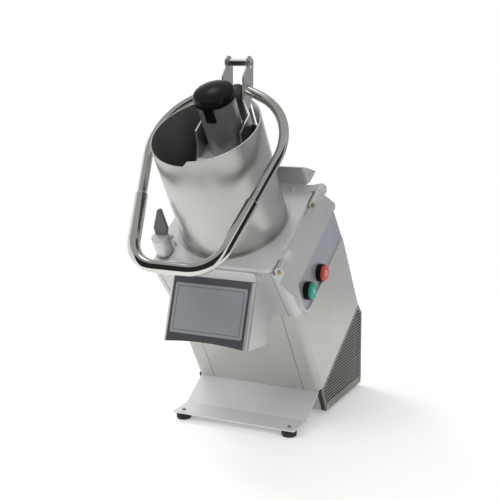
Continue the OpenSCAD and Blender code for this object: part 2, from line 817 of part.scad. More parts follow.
module stand_frame() {
    color(paint) {
        difference() {
            along_x(-cover_in, cover_in) polygon(cover_points);
            along_x(-cover_in - past, cover_in + past) polygon(inset(cover_points, frame_t));
        }
        along_x(-frame_t / 2, frame_t / 2) polygon(inset(cover_points, frame_t / 2));
    }
}
module louvres() {
    tall = stand_rear.y - rear_foot_h - louvre_foot - louvre_border;
    intersection() {
        along_x(cover_in - past, half + past) polygon(inset(cover_points, louvre_border));
        for (i = [0:floor(tall / louvre_pitch)])
            translate([0, stand_front.x, rear_foot_h + louvre_foot + i * louvre_pitch])
                block([cover_in - past, 0, 0], [half + past, cover_low.x, louvre_slot]);
    }
}
module louvre_cover() {
    difference() {
        along_x(cover_in, half) polygon(cover_points);
        along_x(cover_in - past, half - cover_skin) polygon(inset(cover_points, cover_skin));
        louvres();
        for (i = [1:3]) translate([0, cover_screw_at[i].x, cover_screw_at[i].y])
            rod_x(screw_r + screw_gap, 0, half + past);
    }
}
module right_louvre_cover() color(dark) louvre_cover();
module left_louvre_cover() color(dark) mirror([1, 0, 0]) louvre_cover();
module cover_screws() {
    color(steel) both_sides() for (i = [1:3]) translate([0, cover_screw_at[i].x, cover_screw_at[i].y]) {
        rod_x(screw_r, half - cover_skin, half + lap);
        rod_x(screw_head_r, half, half + screw_head_h);
    }
}
// Flat strip that bends up into a ramp and ends on the stand's front
module foot_plate() {
    up = unit(stand_front - [foot_bend, foot_top]);
    under = [foot_bend + foot_t * tan(atan2(up.y, up.x) / 2), front_foot_h];
    side = [[foot_start, front_foot_h], under,
        cross_at(under, up, stand_front, cover_points[1] - stand_front), stand_front,
        [foot_bend, foot_top], [foot_start, foot_top]];
    color(paint) intersection() {
        along_x(-foot_half, foot_half) polygon(side);
        linear_extrude(head_h) rounded(-foot_half, foot_half, foot_start, cover_low.x, foot_corner);
    }
}
module rubber_feet() {
    in = foot_r + foot_edge;
    color(black) both_sides() {
        translate([foot_half - in, foot_start + in, 0]) post(foot_r, 0, front_foot_h);
        translate([cover_in - in, cover_low.x - in - foot_edge, 0]) post(foot_r, 0, rear_foot_h);
    }
}

module hinge_pins() {
    color(steel) lean() translate([hinge_x, 0, hinge_z]) for (i = [0, 1])
        rod_y(pin_r, hinge_ys[i] - pin_out, tab_ys[i] + tab_lens[i] + pin_out);
}
// Pin of the latch knob, with the washer that the knob turns on
module latch_stud() {
    color(steel) lean() translate([-knob_x, -knob_y, 0]) {
        post(drum_r + past, 0, stud_t);
        post(latch_pin_r, stud_t - lap, drum_top - drum_cap - rest_gap);
    }
}
module button_collars() {
    color(black) lean() for (p = button_at) translate([0, p.x, p.y]) difference() {
        union() {
            rod_x(button_r + collar_wall, recess_x, recess_x + collar_h);
            rod_x(shank_r, cavity_half, recess_x + lap);
        }
        rod_x(button_r + run, recess_x + collar_floor, half + collar_h);
        rod_x(stem_r + run, 0, half);
    }
}
module contact_blocks() {
    h = contact_half;
    color(dark) lean() for (p = button_at) translate([cavity_half, p.x, p.y]) difference() {
        block([-contact_deep, -h, -h], [0, h, h]);
        rod_x(stem_r + rest_gap, -stem_in - press - past, past);
    }
}
module push_button(p) {
    face = half + button_out;
    lean() translate([0, p.x, p.y]) {
        rod_x(button_r, recess_x + collar_floor + press + rest_gap, face - button_edge);
        rod_x(button_r - button_edge, face - button_edge - lap, face);
        rod_x(stem_r, cavity_half - stem_in, half);
    }
}
module start_button() color(green) push_button(button_at[0]);
module stop_button() color(red) push_button(button_at[1]);

module bearing_housing() {
    top = -cavity_top;
    low = top - bearing_house_h;
    color(alu) lean() difference() {
        union() {
            post(bearing_r + bearing_flange, top - bearing_flange_t, top);
            post(bearing_r + bearing_wall, low, top);
        }
        post(bearing_r - bearing_lip, low - past, top + past);
        post(bearing_r, bearing_zs[0], bearing_zs[0] + bearing_h);
        post(bearing_r, low - past, low + bearing_h);
    }
}
module spindle_bearings() {
    color(steel) lean() for (z = bearing_zs) difference() {
        post(bearing_r, z, z + bearing_h);
        post(spindle_r + run, z - past, z + bearing_h + past);
    }
}
module shaft_seal() {
    color(black) lean() difference() {
        post(seal_r, -cavity_top, -chamber_deep);
        post(spindle_r + run, -cavity_top - past, 0);
    }
}
module motor_mount() {
    p = pillar_at;
    rim = pillar_r + mount_rim;
    color(steel) lean() translate([0, motor_y, 0]) difference() {
        union() {
            block([-p.x - rim, -p.y - rim, motor_top], [p.x + rim, p.y + rim, mount_top]);
            for (x = [-p.x, p.x], y = [-p.y, p.y]) translate([x, y, 0])
                post(pillar_r, mount_top - lap, -cavity_top);
        }
        post(2 * motor_shaft_r, motor_top - past, mount_top + past);
    }
}
module motor_housing() {
    color(dark) lean() translate([0, motor_y, 0]) difference() {
        post(motor_r, motor_low, motor_top);
        post(motor_r - motor_wall, motor_low + motor_wall, motor_top - motor_wall);
        post(motor_shaft_r + run, motor_top - 2 * motor_wall, motor_top + past);
    }
}
module motor_rotor() {
    end = motor_wall + rotor_gap;
    color(steel) lean() translate([0, motor_y, 0]) {
        post(motor_r - end, motor_low + end, motor_top - end);
        post(motor_shaft_r, motor_low + motor_wall + rest_gap, pulley_top + shaft_end);
    }
}
// Outline that runs round both pulleys, grown by g
module belt_loop(g) {
    a = asin((big_r - small_r) / motor_y);
    function on(r, y, s) = [s * r * cos(a), y + r * sin(a)];
    circle(big_r + g);
    translate([0, motor_y]) circle(small_r + g);
    polygon([on(big_r + g, 0, 1), on(small_r + g, motor_y, 1), on(small_r + g, motor_y, -1),
        on(big_r + g, 0, -1)]);
}
module drive_belt() {
    rim = pulley_h / 8;
    color(black) lean() translate([0, 0, pulley_low + rim]) linear_extrude(pulley_h - 2 * rim) difference() {
        belt_loop(belt_t + rest_gap);
        belt_loop(rest_gap);
    }
}
module capacitor() {
    can_r = 19;
    can_h = 76;
    cap_r = 5;
    x = can_r + wall - cavity_half;
    color(steel) lean() translate([x, can_r + 2 * wall - body_front, bottom_t - body_deep]) {
        post(can_r, 0, can_h);
        post(cap_r, can_h - lap, can_h + cap_r);
    }
}
module control_box() {
    w = 92;
    d = 52;
    h = 72;
    color(dark) lean() translate([-w / 3, 2 * wall - body_front, bottom_t - body_deep]) cube([w, d, h]);
}
module cable_gland() {
    gland_r = 9;
    gland_h = 12;
    nut_r = 12;
    nut_h = 6;
    color(black) lean() translate([-seam_x / 1.5, body_rear, 4 * nut_r - body_deep]) difference() {
        union() {
            rod_y(nut_r, 0, nut_h);
            rod_y(gland_r, nut_h - lap, nut_h + gland_h);
        }
        rod_y(gland_r / 2, nut_h - past, nut_h + gland_h + past);
    }
}
module lid_switch() {
    w = 20;
    d = 28;
    h = 18;
    color(black) lean() translate([wall - cavity_half, body_rear - 2 * d, -cavity_top - h]) cube([w, d, h]);
}

// What the lid's front left corner leaves free for the latch knob
module knob_notch() {
    r = drum_r + drum_gap;
    out = -half - 2 * r;
    front = lid_front - 2 * r;
    rounded(out, r - knob_x, front, drum_r + 3 * drum_gap - knob_y, r);
    rounded(out, drum_gap - knob_x, front, notch_len - knob_y, 2 * drum_gap);
}
module lid_plate() {
    web = [[lid_half - knuckle_r, lid_gap + past], [hinge_x, lid_gap + past],
        [hinge_x, hinge_z + knuckle_r], [lid_half - knuckle_r, lid_t]];
    color(alu) lean() difference() {
        union() {
            translate([0, 0, lid_gap]) linear_extrude(lid_t - lid_gap) {
                rounded(-lid_half, lid_half, lid_front, lid_rear, lid_r);
                rounded(lid_half - 2 * lid_r, hinge_x + knuckle_r + past, tab_ys[1], lid_rear, rear_tab / 3);
                rounded(-tongue_half, tongue_half, 0, tongue_rear, tongue_r);
            }
            for (i = [0, 1]) {
                knuckle(tab_ys[i], tab_lens[i]);
                along_y(tab_ys[i], tab_ys[i] + tab_lens[i]) polygon(web);
            }
        }
        for (i = [0, 1]) translate([hinge_x, 0, hinge_z])
            rod_y(knuckle_r + knuckle_room, hinge_ys[i] - pin_out - past, tab_ys[i]);
        hinge_bores();
        post(cyl_in, -past, lid_t + past);
        translate([0, guide_y, 0]) post(boss_r, -past, lid_t + past);
        translate([0, 0, -past]) linear_extrude(lid_t + 2 * past) knob_notch();
    }
}
module feed_cylinder() {
    low = cyl_top - rim_drop;
    out = cyl_r + past;
    color(steel) lean() difference() {
        union() {
            post(cyl_r, lid_t, cyl_top);
            post(cyl_r + flange_out, lid_t, lid_t + flange_t);
        }
        post(cyl_in, 0, cyl_top + past);
        along_y(-out, out) polygon([[-out, low], [rim_step_x - rim_drop, low],
            [rim_step_x + past, cyl_top + past], [-out, cyl_top + past]]);
        block([-slot_half, 0, slot_z], [slot_half, out, cyl_top + past]);
    }
}
module lid_boss() {
    r = 6;
    color(alu) lean() translate([lid_half - lid_boss_in, lid_rear - lid_r, lid_t]) intersection() {
        translate([0, 0, -r / 3]) sphere(r);
        post(r, 0, r);
    }
}
// Wall across the lid's rear with a top that falls to the rear, and the boss of the guide
module guide_housing() {
    w = house_w / 2;
    ridge = house_y + house_crown;
    rear = ridge + (house_top - lid_t) / tan(house_fall);
    color(alu) lean() difference() {
        union() {
            intersection() {
                along_x(-w - past, w + past) polygon([[house_y - past, lid_t], [rear, lid_t],
                    [ridge - past / tan(house_fall), house_top + past], [house_y - past, house_top + past]]);
                along_y(house_y - 2 * past, rear + past)
                    rounded(-w, w, lid_t - 2 * house_edge, house_top, house_edge);
                linear_extrude(2 * house_top) rounded(-w, w, house_y, rear + 2 * house_r, house_r);
            }
            translate([0, guide_y, 0]) post(boss_r, -boss_deep, boss_top);
        }
        translate([0, guide_y, 0]) {
            post(sleeve_r + sleeve_gap, boss_low, house_top + past);
            post(sleeve_r + bush_wall, bush_z, house_top + past);
        }
    }
}
module guide_bush() {
    color(bronze) lean() translate([0, guide_y, 0]) difference() {
        post(sleeve_r + bush_wall, bush_z, bush_z + bush_h);
        post(sleeve_r + run, 0, boss_top + past);
    }
}
module guide_rod() {
    color(steel) lean() translate([0, guide_y, 0]) post(rod_r, boss_low, rod_top);
}
module housing_screws() {
    in = 2 * tongue_r;
    color(steel) lean() both_sides() translate([tongue_half - in, tongue_rear - tongue_r, lid_gap])
        post(house_screw_r, -house_screw_h, 0);
}

module pusher_sleeve() {
    key = sleeve_r / 1.5;
    color(dark) lean() translate([0, guide_y, 0]) difference() {
        union() {
            post(sleeve_r, boss_low + rest_gap, dome_z);
            block([-cheek_in, -key, cheek_foot + cheek_gap], [cheek_in, key, dome_z]);
            translate([0, 0, dome_z]) sphere(sleeve_r);
        }
        post(rod_r + run, -boss_deep, rod_top + cheek_gap);
    }
}
// Bent strip of one cheek seen from above, on the right
module cheek_strip() {
    a = cheek_in;
    b = cheek_out;
    t = cheek_t;
    end = bar_y + 2 * ear_r;
    turn = t / 1.5;
    polygon([[b, cheek_front - past], [b + t, cheek_front - past], [b + t, flare[0]], [a + t, flare[1]],
        [a + t, end], [a, end], [a, flare[1] - turn], [b, flare[0] - turn]]);
}
// Outline of a cheek seen from the side
module cheek_side() {
    polygon([[cheek_front, plate_top], [cheek_rear, plate_top], [cheek_rear, cheek_foot],
        [guide_y - hoop_r, cheek_foot], [guide_y + cheek_back, cheek_foot + cheek_back],
        [bar_y + ear_r, bar_z - hoop_r], [bar_y + ear_r, bar_z], [bar_y - ear_r, bar_z],
        [guide_y - cheek_nick, bar_z - bar_r], [guide_y - hoop_r, hoop_z + grip_r],
        [guide_y - 2 * grip_r, hoop_z - grip_r], [tube_y + tube_r, hoop_z - 2 * hoop_r],
        [tube_y - 0.7 * tube_r, hoop_z - 2 * ear_r], [tube_y - 0.9 * tube_r, shelf_z + 2 * ear_r],
        [cheek_front, shelf_z + shelf_t]]);
    translate([bar_y, bar_z]) circle(ear_r);
}
module cheek() {
    difference() {
        intersection() {
            linear_extrude(2 * cyl_top) cheek_strip();
            along_x(0, cheek_out + cheek_t + past) cheek_side();
        }
        translate([0, bar_y, bar_z]) rod_x(bar_r + run, 0, cheek_out);
    }
}
module right_cheek() color(steel) lean() cheek();
module left_cheek() color(steel) lean() mirror([1, 0, 0]) cheek();
module front_shelf() {
    color(alu) lean() difference() {
        union() {
            block([-cheek_out, cheek_front, shelf_z], [cheek_out, tube_y, shelf_z + shelf_t]);
            translate([0, cheek_front, shelf_z]) rod_x(roll_r, -cheek_out, cheek_out);
        }
        translate([0, tube_y, 0]) post(tube_r, 0, tube_top);
    }
}
module pusher_plate() {
    color(alu) lean() difference() {
        post(plate_r, plate_z, plate_top);
        translate([0, tube_y, 0]) post(tube_r, 0, tube_top);
    }
}
module feed_tube() {
    color(steel) lean() translate([0, tube_y, 0]) difference() {
        post(tube_r, plate_z, tube_top);
        post(tube_in, plate_z - past, tube_top + past);
        block([-key_w / 2, -tube_r - past, tube_top - key_deep], [key_w / 2, 0, tube_top + past]);
    }
}
module cross_bar() {
    color(steel) lean() translate([0, bar_y, bar_z]) rod_x(bar_r, -hoop_end, hoop_end);
}
module cross_bar_bolts() {
    color(steel) lean() both_sides() translate([0, bar_y, bar_z])
        rod_x((bar_r + ear_r) / 2, hoop_end, hoop_end + bolt_h);
}

// Puts a drawing of the hoop's plane in its place: X stays, Y of the drawing runs to the front
module hoop_plane() {
    lean() translate([0, guide_y, hoop_z]) rotate([180 + hoop_slope, 0, 0]) mirror([0, 0, 1]) children();
}
// Straight run of tube between two points of the hoop's plane, lapped over both ends by l
module run_tube(a, b, r, l) {
    d = unit(b - a);
    from = a - l * d;
    translate([from.x, from.y, 0]) rotate([0, 0, atan2(d.y, d.x)]) rotate([0, 90, 0])
        cylinder(r = r + tube_step, h = norm(b - a) + 2 * l);
}
// Bent tube about a centre from angle a0 to a1
module bend_tube(c, bend, a0, a1, r) {
    translate([c.x, c.y, 0]) rotate([0, 0, a0]) rotate_extrude(angle = a1 - a0, $fn = 180)
        translate([bend, 0]) circle(r);
}
module hoop_tube() {
    color(steel) difference() {
        hoop_plane() both_sides() {
            run_tube(hoop_p0, hoop_p1, hoop_r, lap);
            bend_tube(hoop_c, hoop_rear_r, -hoop_rear_a, hoop_taper, hoop_r);
            run_tube(hoop_p2 - lap * hoop_dir, hoop_seam, hoop_r, 0);
        }
        lean() block([-hoop_end, guide_y - cyl_r, 0], [hoop_end, guide_y + cyl_r, 2 * hoop_z]);
    }
}
module hoop_grip() {
    color(steel) hoop_plane() {
        both_sides() {
            run_tube(hoop_seam, hoop_p3 + lap * hoop_dir, grip_r, 0);
            bend_tube(hoop_fc, hoop_front_r, hoop_taper, 90, grip_r);
        }
        run_tube([-hoop_fc.x, hoop_len], [hoop_fc.x, hoop_len], grip_r, lap);
    }
}

module pestle() {
    w = key_w / 2 - key_gap;
    color(black) lean() translate([0, tube_y, 0]) {
        post(pestle_r, plate_z + key_gap, cap_foot);
        block([-w, -tube_r - key_gap, tube_top - key_deep + key_gap], [w, -pestle_r / 2, cap_foot]);
    }
}
module pestle_cap() {
    edge = cap_h - cap_round;
    color(black) lean() translate([0, tube_y, cap_foot]) rotate_extrude() intersection() {
        union() {
            square([cap_r, edge]);
            square([cap_r - cap_round, cap_h + past]);
            translate([cap_r - cap_round, edge]) circle(cap_round);
        }
        square([cap_r + past, cap_h + past]);
        translate([0, cap_h - cap_crown]) circle(cap_crown);
    }
}

module knob_drum() {
    color(alu) lean() translate([-knob_x, -knob_y, 0]) difference() {
        post(drum_r, stud_t + rest_gap, drum_top);
        post(latch_pin_r + run, 0, drum_top - drum_cap);
    }
}
// Wing that stands on the drum and leans to the rear
module knob_wing() {
    foot = wing_half / 1.5;
    hip = wing_h / 4;
    tip = wing_h - wing_tip;
    far = 2 * wing_h;
    color(dark) lean() translate([-knob_x, -knob_y, drum_top]) intersection() {
        translate([0, drum_r - wing_t, 0]) rotate([-wing_lean, 0, 0])
            along_y(-wing_t / 2, wing_t / 2) union() {
                polygon([[-foot, -wing_t], [foot, -wing_t], [wing_half, hip], [wing_tip, tip],
                    [-wing_tip, tip], [-wing_half, hip]]);
                translate([0, tip]) circle(wing_tip);
            }
        block([-far, -far, 0], [far, far, far]);
    }
}

module spindle_shaft() {
    color(steel) lean() post(spindle_r, pulley_low - shaft_end, -shaft_end);
}
// Pulley with the bore of its shaft
module pulley(r, bore) {
    difference() {
        post(r, pulley_low, pulley_top);
        post(bore, pulley_low - past, pulley_top + past);
    }
}
module spindle_pulley() color(dark) lean() pulley(big_r, spindle_r);
module motor_pulley() color(dark) lean() translate([0, motor_y, 0]) pulley(small_r, motor_shaft_r);
module ejector_plate() {
    top = ejector_z + ejector_t;
    color(alu) lean() difference() {
        union() {
            post(ejector_r, ejector_z, top);
            post(hub_r, ejector_z, top + vane_h);
            for (a = [0:90:270]) rotate([0, 0, a])
                block([0, -vane_t / 2, ejector_z], [ejector_r - vane_t, vane_t / 2, top + vane_h]);
        }
        post(spindle_r, ejector_z - past, 0);
    }
}
module cutting_disc() {
    color(steel) lean() difference() {
        union() {
            post(disc_r, disc_z, disc_z + disc_t);
            post(hub_r, disc_z - hub_h, disc_z + disc_t);
        }
        post(spindle_r, disc_z - hub_h - past, 0);
        block([blade_in, 0, disc_z - past], [disc_r - blade_edge, blade_slot, 0]);
    }
}
module disc_blade() {
    top = disc_z + disc_t;
    color(steel) lean() block([blade_in, blade_slot, top],
        [disc_r - blade_edge, blade_slot + blade_w, top + blade_h]);
}

base_casting();
outlet_spout();
label_plate();
left_side_panel();
right_side_panel();
front_panel();
rear_panel();
bottom_plate();
stand_frame();
left_louvre_cover();
right_louvre_cover();
foot_plate();
rubber_feet();
cover_screws();
hinge_pins();
latch_stud();
button_collars();
contact_blocks();
bearing_housing();
spindle_bearings();
shaft_seal();
motor_mount();
motor_housing();
drive_belt();
capacitor();
control_box();
cable_gland();
lid_switch();
lid_plate();
feed_cylinder();
lid_boss();
guide_housing();
guide_bush();
guide_rod();
housing_screws();
pusher_sleeve();
left_cheek();
right_cheek();
front_shelf();
pusher_plate();
feed_tube();
cross_bar();
cross_bar_bolts();
hoop_tube();
hoop_grip();
pestle();
pestle_cap();
knob_drum();
knob_wing();
start_button();
stop_button();
spindle_shaft();
spindle_pulley();
ejector_plate();
cutting_disc();
disc_blade();
motor_rotor();
motor_pulley();
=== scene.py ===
import json
import math

import bmesh
import bpy
from mathutils import Matrix, Vector


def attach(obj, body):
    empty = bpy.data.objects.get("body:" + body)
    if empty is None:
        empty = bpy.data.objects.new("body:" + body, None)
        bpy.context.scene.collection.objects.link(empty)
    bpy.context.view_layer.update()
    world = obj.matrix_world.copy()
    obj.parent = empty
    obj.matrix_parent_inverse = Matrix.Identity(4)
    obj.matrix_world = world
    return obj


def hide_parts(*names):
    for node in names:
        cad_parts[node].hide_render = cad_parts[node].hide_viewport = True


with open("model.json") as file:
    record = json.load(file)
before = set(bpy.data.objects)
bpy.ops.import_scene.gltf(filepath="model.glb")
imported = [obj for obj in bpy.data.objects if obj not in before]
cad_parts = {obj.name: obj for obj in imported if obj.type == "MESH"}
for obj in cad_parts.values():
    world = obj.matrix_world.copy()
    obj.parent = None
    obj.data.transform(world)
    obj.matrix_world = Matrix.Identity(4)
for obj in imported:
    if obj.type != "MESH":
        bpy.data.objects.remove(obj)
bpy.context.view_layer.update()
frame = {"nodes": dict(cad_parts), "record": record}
nodes = frame["nodes"]
scene = bpy.context.scene

# The head's own frame: millimetres, spindle along Z, rim at Z = 0
MM = 0.001
TILT = math.radians(32)
HEAD_AT = Vector((0, -0.035, 0.354))
HEAD = Matrix.Translation(HEAD_AT) @ Matrix.Rotation(TILT, 4, "X")

# Camera fitted to the photograph
CAM_AT = Vector((0.7749, -1.6164, 0.666))
CAM_TARGET = Vector((-0.1151, 0.2665, 0.246))
CAM_LENS = 77.3
CAM_SENSOR = 36.0
CAM_NEAR = 0.05
CAM_FAR = 60


def aimed(at, target):
    """Turn of a camera or lamp at a point that brings its -Z towards a target."""
    return (Vector(target) - Vector(at)).to_track_quat("-Z", "Y")


camera_data = bpy.data.cameras.new("camera")
camera_data.lens = CAM_LENS
camera_data.sensor_width = CAM_SENSOR
camera_data.clip_start = CAM_NEAR
camera_data.clip_end = CAM_FAR
camera = bpy.data.objects.new("camera", camera_data)
scene.collection.objects.link(camera)
camera.location = CAM_AT
camera.rotation_euler = aimed(CAM_AT, CAM_TARGET).to_euler()
scene.camera = camera
scene.view_settings.view_transform = "Standard"


# Materials

EDGE_SAMPLES = 4
EDGE_STOPS = (0.50, 0.92)
CLOUD_STOPS = (0.32, 0.70)
SPOT_STOPS = (0.36, 0.52)
SMEAR_STOPS = (0.30, 0.72)
SPOTS_FINER = 7
SMEAR_FINER = 2.3
CLOUD_DETAIL = 5
SPOT_DETAIL = 6
SPOT_ROUGH = 0.7
SMEAR_DETAIL = 6
SMEAR_ROUGH = 0.65
GRAIN_DETAIL = 3
GRAIN_DEPTH = 0.0004


class Nodes:
    """A material's node tree with short calls for what the finishes share."""

    def __init__(self, name, principled=True):
        self.mat = bpy.data.materials.new(name)
        self.mat.use_nodes = True
        self.tree = self.mat.node_tree
        self.tree.nodes.clear()
        self.out = self.add("ShaderNodeOutputMaterial")
        if principled:
            self.bsdf = self.add("ShaderNodeBsdfPrincipled")
            self.surface(self.bsdf)

    def add(self, kind):
        return self.tree.nodes.new(kind)

    def link(self, a, b):
        self.tree.links.new(a, b)

    def feed(self, value, socket):
        """Links a socket to another one, or sets it to a plain value."""
        if hasattr(value, "is_linked"):
            self.link(value, socket)
        else:
            socket.default_value = value

    def surface(self, shader):
        self.link(shader.outputs[0], self.out.inputs["Surface"])

    def set(self, **values):
        for key, value in values.items():
            self.bsdf.inputs[key.replace("_", " ")].default_value = value

    def place(self, kind):
        """Object or Normal coordinates of the part."""
        return self.add("ShaderNodeTexCoord").outputs[kind]

    def coords(self, scale=(1, 1, 1), head=True):
        """Object coordinates, turned into the head's frame where head is true."""
        vec = self.place("Object")
        if head:
            turn = self.add("ShaderNodeMapping")
            turn.inputs["Location"].default_value = HEAD.inverted().translation
            turn.inputs["Rotation"].default_value = (-TILT, 0, 0)
            self.link(vec, turn.inputs["Vector"])
            vec = turn.outputs["Vector"]
        stretch = self.add("ShaderNodeMapping")
        stretch.inputs["Scale"].default_value = scale
        self.link(vec, stretch.inputs["Vector"])
        return stretch.outputs["Vector"]

    def noise(self, vec, scale, detail, rough=0.55):
        n = self.add("ShaderNodeTexNoise")
        n.inputs["Scale"].default_value = scale
        n.inputs["Detail"].default_value = detail
        n.inputs["Roughness"].default_value = rough
        self.link(vec, n.inputs["Vector"])
        return n.outputs["Fac"]

    def ramp(self, fac, stops, values):
        """Goes from the first value to the second between two stops; a value is a grey or a colour."""
        r = self.add("ShaderNodeValToRGB")
        for e, stop, value in zip(r.color_ramp.elements, stops, values):
            e.position = stop
            e.color = (*value, 1) if hasattr(value, "__len__") else (value, value, value, 1)
        self.link(fac, r.inputs["Fac"])
        return r.outputs["Color"]

    def mix(self, fac, a, b, blend="MIX"):
        """Mix of two colours; each may be a socket or a plain value."""
        m = self.add("ShaderNodeMix")
        m.data_type = "RGBA"
        m.blend_type = blend
        sockets = [i for i in m.inputs if i.enabled]
        for socket, value in zip(sockets, (fac, a, b)):
            self.feed(value, socket)
        return next(o for o in m.outputs if o.enabled)

    def calc(self, operation, a, b=None):
        m = self.add("ShaderNodeMath")
        m.operation = operation
        self.link(a, m.inputs[0])
        if b is not None:
            self.feed(b, m.inputs[1])
        return m.outputs[0]

    def measure(self, operation, vec, other=None):
        """Length of a vector, or its distance or dot product with another."""
        m = self.add("ShaderNodeVectorMath")
        m.operation = operation
        self.link(vec, m.inputs[0])
        if other is not None:
            m.inputs[1].default_value = other
        return m.outputs["Value"]

    def fade(self, value, start, end):
        """Goes softly from 0 at start to 1 at end."""
        m = self.add("ShaderNodeMapRange")
        m.interpolation_type = "SMOOTHSTEP"
        m.inputs["From Min"].default_value = start
        m.inputs["From Max"].default_value = end
        self.link(value, m.inputs["Value"])
        return m.outputs["Result"]

    def bump(self, height, strength):
        b = self.add("ShaderNodeBump")
        b.inputs["Strength"].default_value = strength
        b.inputs["Distance"].default_value = GRAIN_DEPTH
        self.link(height, b.inputs["Height"])
        return b.outputs["Normal"]

    def edges(self, reach, share):
        """Up to share on convex edges, where the material is less deep than reach millimetres."""
        deep = self.add("ShaderNodeAmbientOcclusion")
        deep.inside = True
        deep.only_local = True
        deep.samples = EDGE_SAMPLES
        deep.inputs["Distance"].default_value = reach * MM
        return self.ramp(deep.outputs["AO"], EDGE_STOPS, (share, 0.0))

    def remix(self, key, mask, value, blend="MIX"):
        """Mixes a colour into what already feeds a socket of the shader, where a mask is 1."""
        socket = self.bsdf.inputs[key]
        self.link(self.mix(mask, socket.links[0].from_socket, (*value, 1), blend), socket)


def finish_of(name, colours, rough, metal, cloud, grain, bump, grain_scale=(1, 1, 1), head=True, soil=0.0,
              edge=None, reach=1.0, share=0.6, gloss=None, **values):
    """Finish with a cloudy colour, a cloudy gloss, a fine grain and, where edge is given, worn edges.

    colours: darkest and lightest colour. rough: lowest and highest roughness.
    cloud, grain: noise scales per metre. bump: strength of the grain. soil: depth of darker spots.
    edge, share: colour of the convex edges and how much of it shows. reach: their width in millimetres.
    gloss: roughness that the edges are rubbed to.
    """
    n = Nodes(name)
    vec = n.coords(head=head)
    colour = n.ramp(n.noise(vec, cloud, CLOUD_DETAIL), CLOUD_STOPS, colours)
    if soil:
        spots = n.noise(vec, cloud * SPOTS_FINER, SPOT_DETAIL, SPOT_ROUGH)
        colour = n.mix(1.0, colour, n.ramp(spots, SPOT_STOPS, (1 - soil, 1.0)), "MULTIPLY")
    n.link(colour, n.bsdf.inputs["Base Color"])
    smear = n.noise(vec, cloud * SMEAR_FINER, SMEAR_DETAIL, SMEAR_ROUGH)
    n.link(n.ramp(smear, SMEAR_STOPS, rough), n.bsdf.inputs["Roughness"])
    fine = n.noise(n.coords(grain_scale, head), grain, GRAIN_DETAIL)
    n.link(n.bump(fine, bump), n.bsdf.inputs["Normal"])
    n.set(Metallic=metal, **values)
    if edge:
        worn = n.edges(reach, share)
        n.remix("Base Color", worn, edge)
        if gloss:
            n.remix("Roughness", worn, (gloss, gloss, gloss))
    return n


def facing(n, direction, stops):
    """1 where the surface faces a direction of the part's own frame."""
    return n.ramp(n.measure("DOT_PRODUCT", n.place("Normal"), direction), stops, (0.0, 1.0))


def facing_across(n, direction, stops):
    """1 where the surface faces across a direction of the part's own frame."""
    along = n.calc("ABSOLUTE", n.measure("DOT_PRODUCT", n.place("Normal"), direction))
    return n.ramp(along, stops, (1.0, 0.0))


def below(n, axis, limit):
    """1 where an axis of the head's frame is below a limit in metres."""
    split = n.add("ShaderNodeSeparateXYZ")
    n.link(n.coords(), split.inputs[0])
    return n.calc("LESS_THAN", split.outputs[axis], limit)


CAST = ((0.60, 0.605, 0.605), (0.67, 0.67, 0.665))
CAST_METAL = 0.55
# Less metal on the lid than on the rest of the casting: painted light, so that the lid renders lighter
LID_METAL = 0.3


def cast_finish(name, metal=CAST_METAL):
    return finish_of(name, CAST, rough=(0.31, 0.39), metal=metal, cloud=9, grain=2600, bump=0.10, soil=0.03,
                     edge=(0.80, 0.80, 0.79), gloss=0.16)


def paint_finish(name, colours):
    return finish_of(name, colours, rough=(0.34, 0.42), metal=0.25, cloud=5, grain=900, bump=0.07, soil=0.02,
                     head=False, edge=(0.74, 0.74, 0.73), Coat_Weight=0.2, Coat_Roughness=0.25)


def button_finish(name, colours):
    return finish_of(name, colours, rough=(0.28, 0.36), metal=0.0, cloud=40, grain=1800, bump=0.05,
                     Coat_Weight=0.3)


cast = cast_finish("cast_satin")
# Copy of the cast finish for the lid, made lighter as painted light: its front would else reflect the dark
# foot of the cylinder
lid_cast = cast_finish("cast_lid", LID_METAL)

# Painted shade: the front plate of the spout is painted darker than the rest, as a painted reflection of the
# dark room in front of it, and the floor of the button recess is painted darker and bluer, as painted shade
# in the recess
SPOUT_SLOPE = math.radians(39.5)
PLATE_SLOPE = TILT + SPOUT_SLOPE
PLATE_NORMAL = (0, -math.sin(PLATE_SLOPE), math.cos(PLATE_SLOPE))
PLATE_STOPS = (0.985, 0.997)
PLATE_PAINTED_REFLECTION = (0.22, 0.225, 0.245)
RECESS_X = 0.1197
RECESS_Z = -0.0665
RECESS_STOPS = (0.90, 0.96)
RECESS_PAINTED_SHADE = (0.80, 0.83, 0.90)
RIGHT = (1, 0, 0)
spout = cast_finish("cast_spout")
# Darkens the front plate of the spout: a painted dark reflection
spout.remix("Base Color", facing(spout, PLATE_NORMAL, PLATE_STOPS), PLATE_PAINTED_REFLECTION, "MULTIPLY")
body_cast = cast_finish("cast_body")
# Darkens the floor of the button recess: painted shade
recess = body_cast.calc("MULTIPLY", below(body_cast, "X", RECESS_X), below(body_cast, "Z", RECESS_Z))
recess_floor_shade = body_cast.calc("MULTIPLY", facing(body_cast, RIGHT, RECESS_STOPS), recess)
body_cast.remix("Base Color", recess_floor_shade, RECESS_PAINTED_SHADE, "MULTIPLY")

paint = paint_finish("paint_silver", ((0.54, 0.54, 0.515), (0.59, 0.59, 0.565)))
# The foot plate's paint is lighter and bluer than the body's: painted light, making up for the light that the
# head keeps off the plate
foot_paint_lit = paint_finish("paint_foot_lit", ((0.68, 0.68, 0.69), (0.74, 0.74, 0.75)))

# The walls of the louvre slots, which face across X, are darker
LOUVRE_STOPS = (0.3, 0.9)
LOUVRE_SHADE = (0.10, 0.10, 0.10)
grille = finish_of("plastic_grille", ((0.20, 0.195, 0.18), (0.25, 0.245, 0.23)), rough=(0.42, 0.55),
                   metal=0.0, cloud=14, grain=1800, bump=0.25, head=False, edge=(0.34, 0.34, 0.33))
grille.remix("Base Color", facing_across(grille, RIGHT, LOUVRE_STOPS), LOUVRE_SHADE, "MULTIPLY")

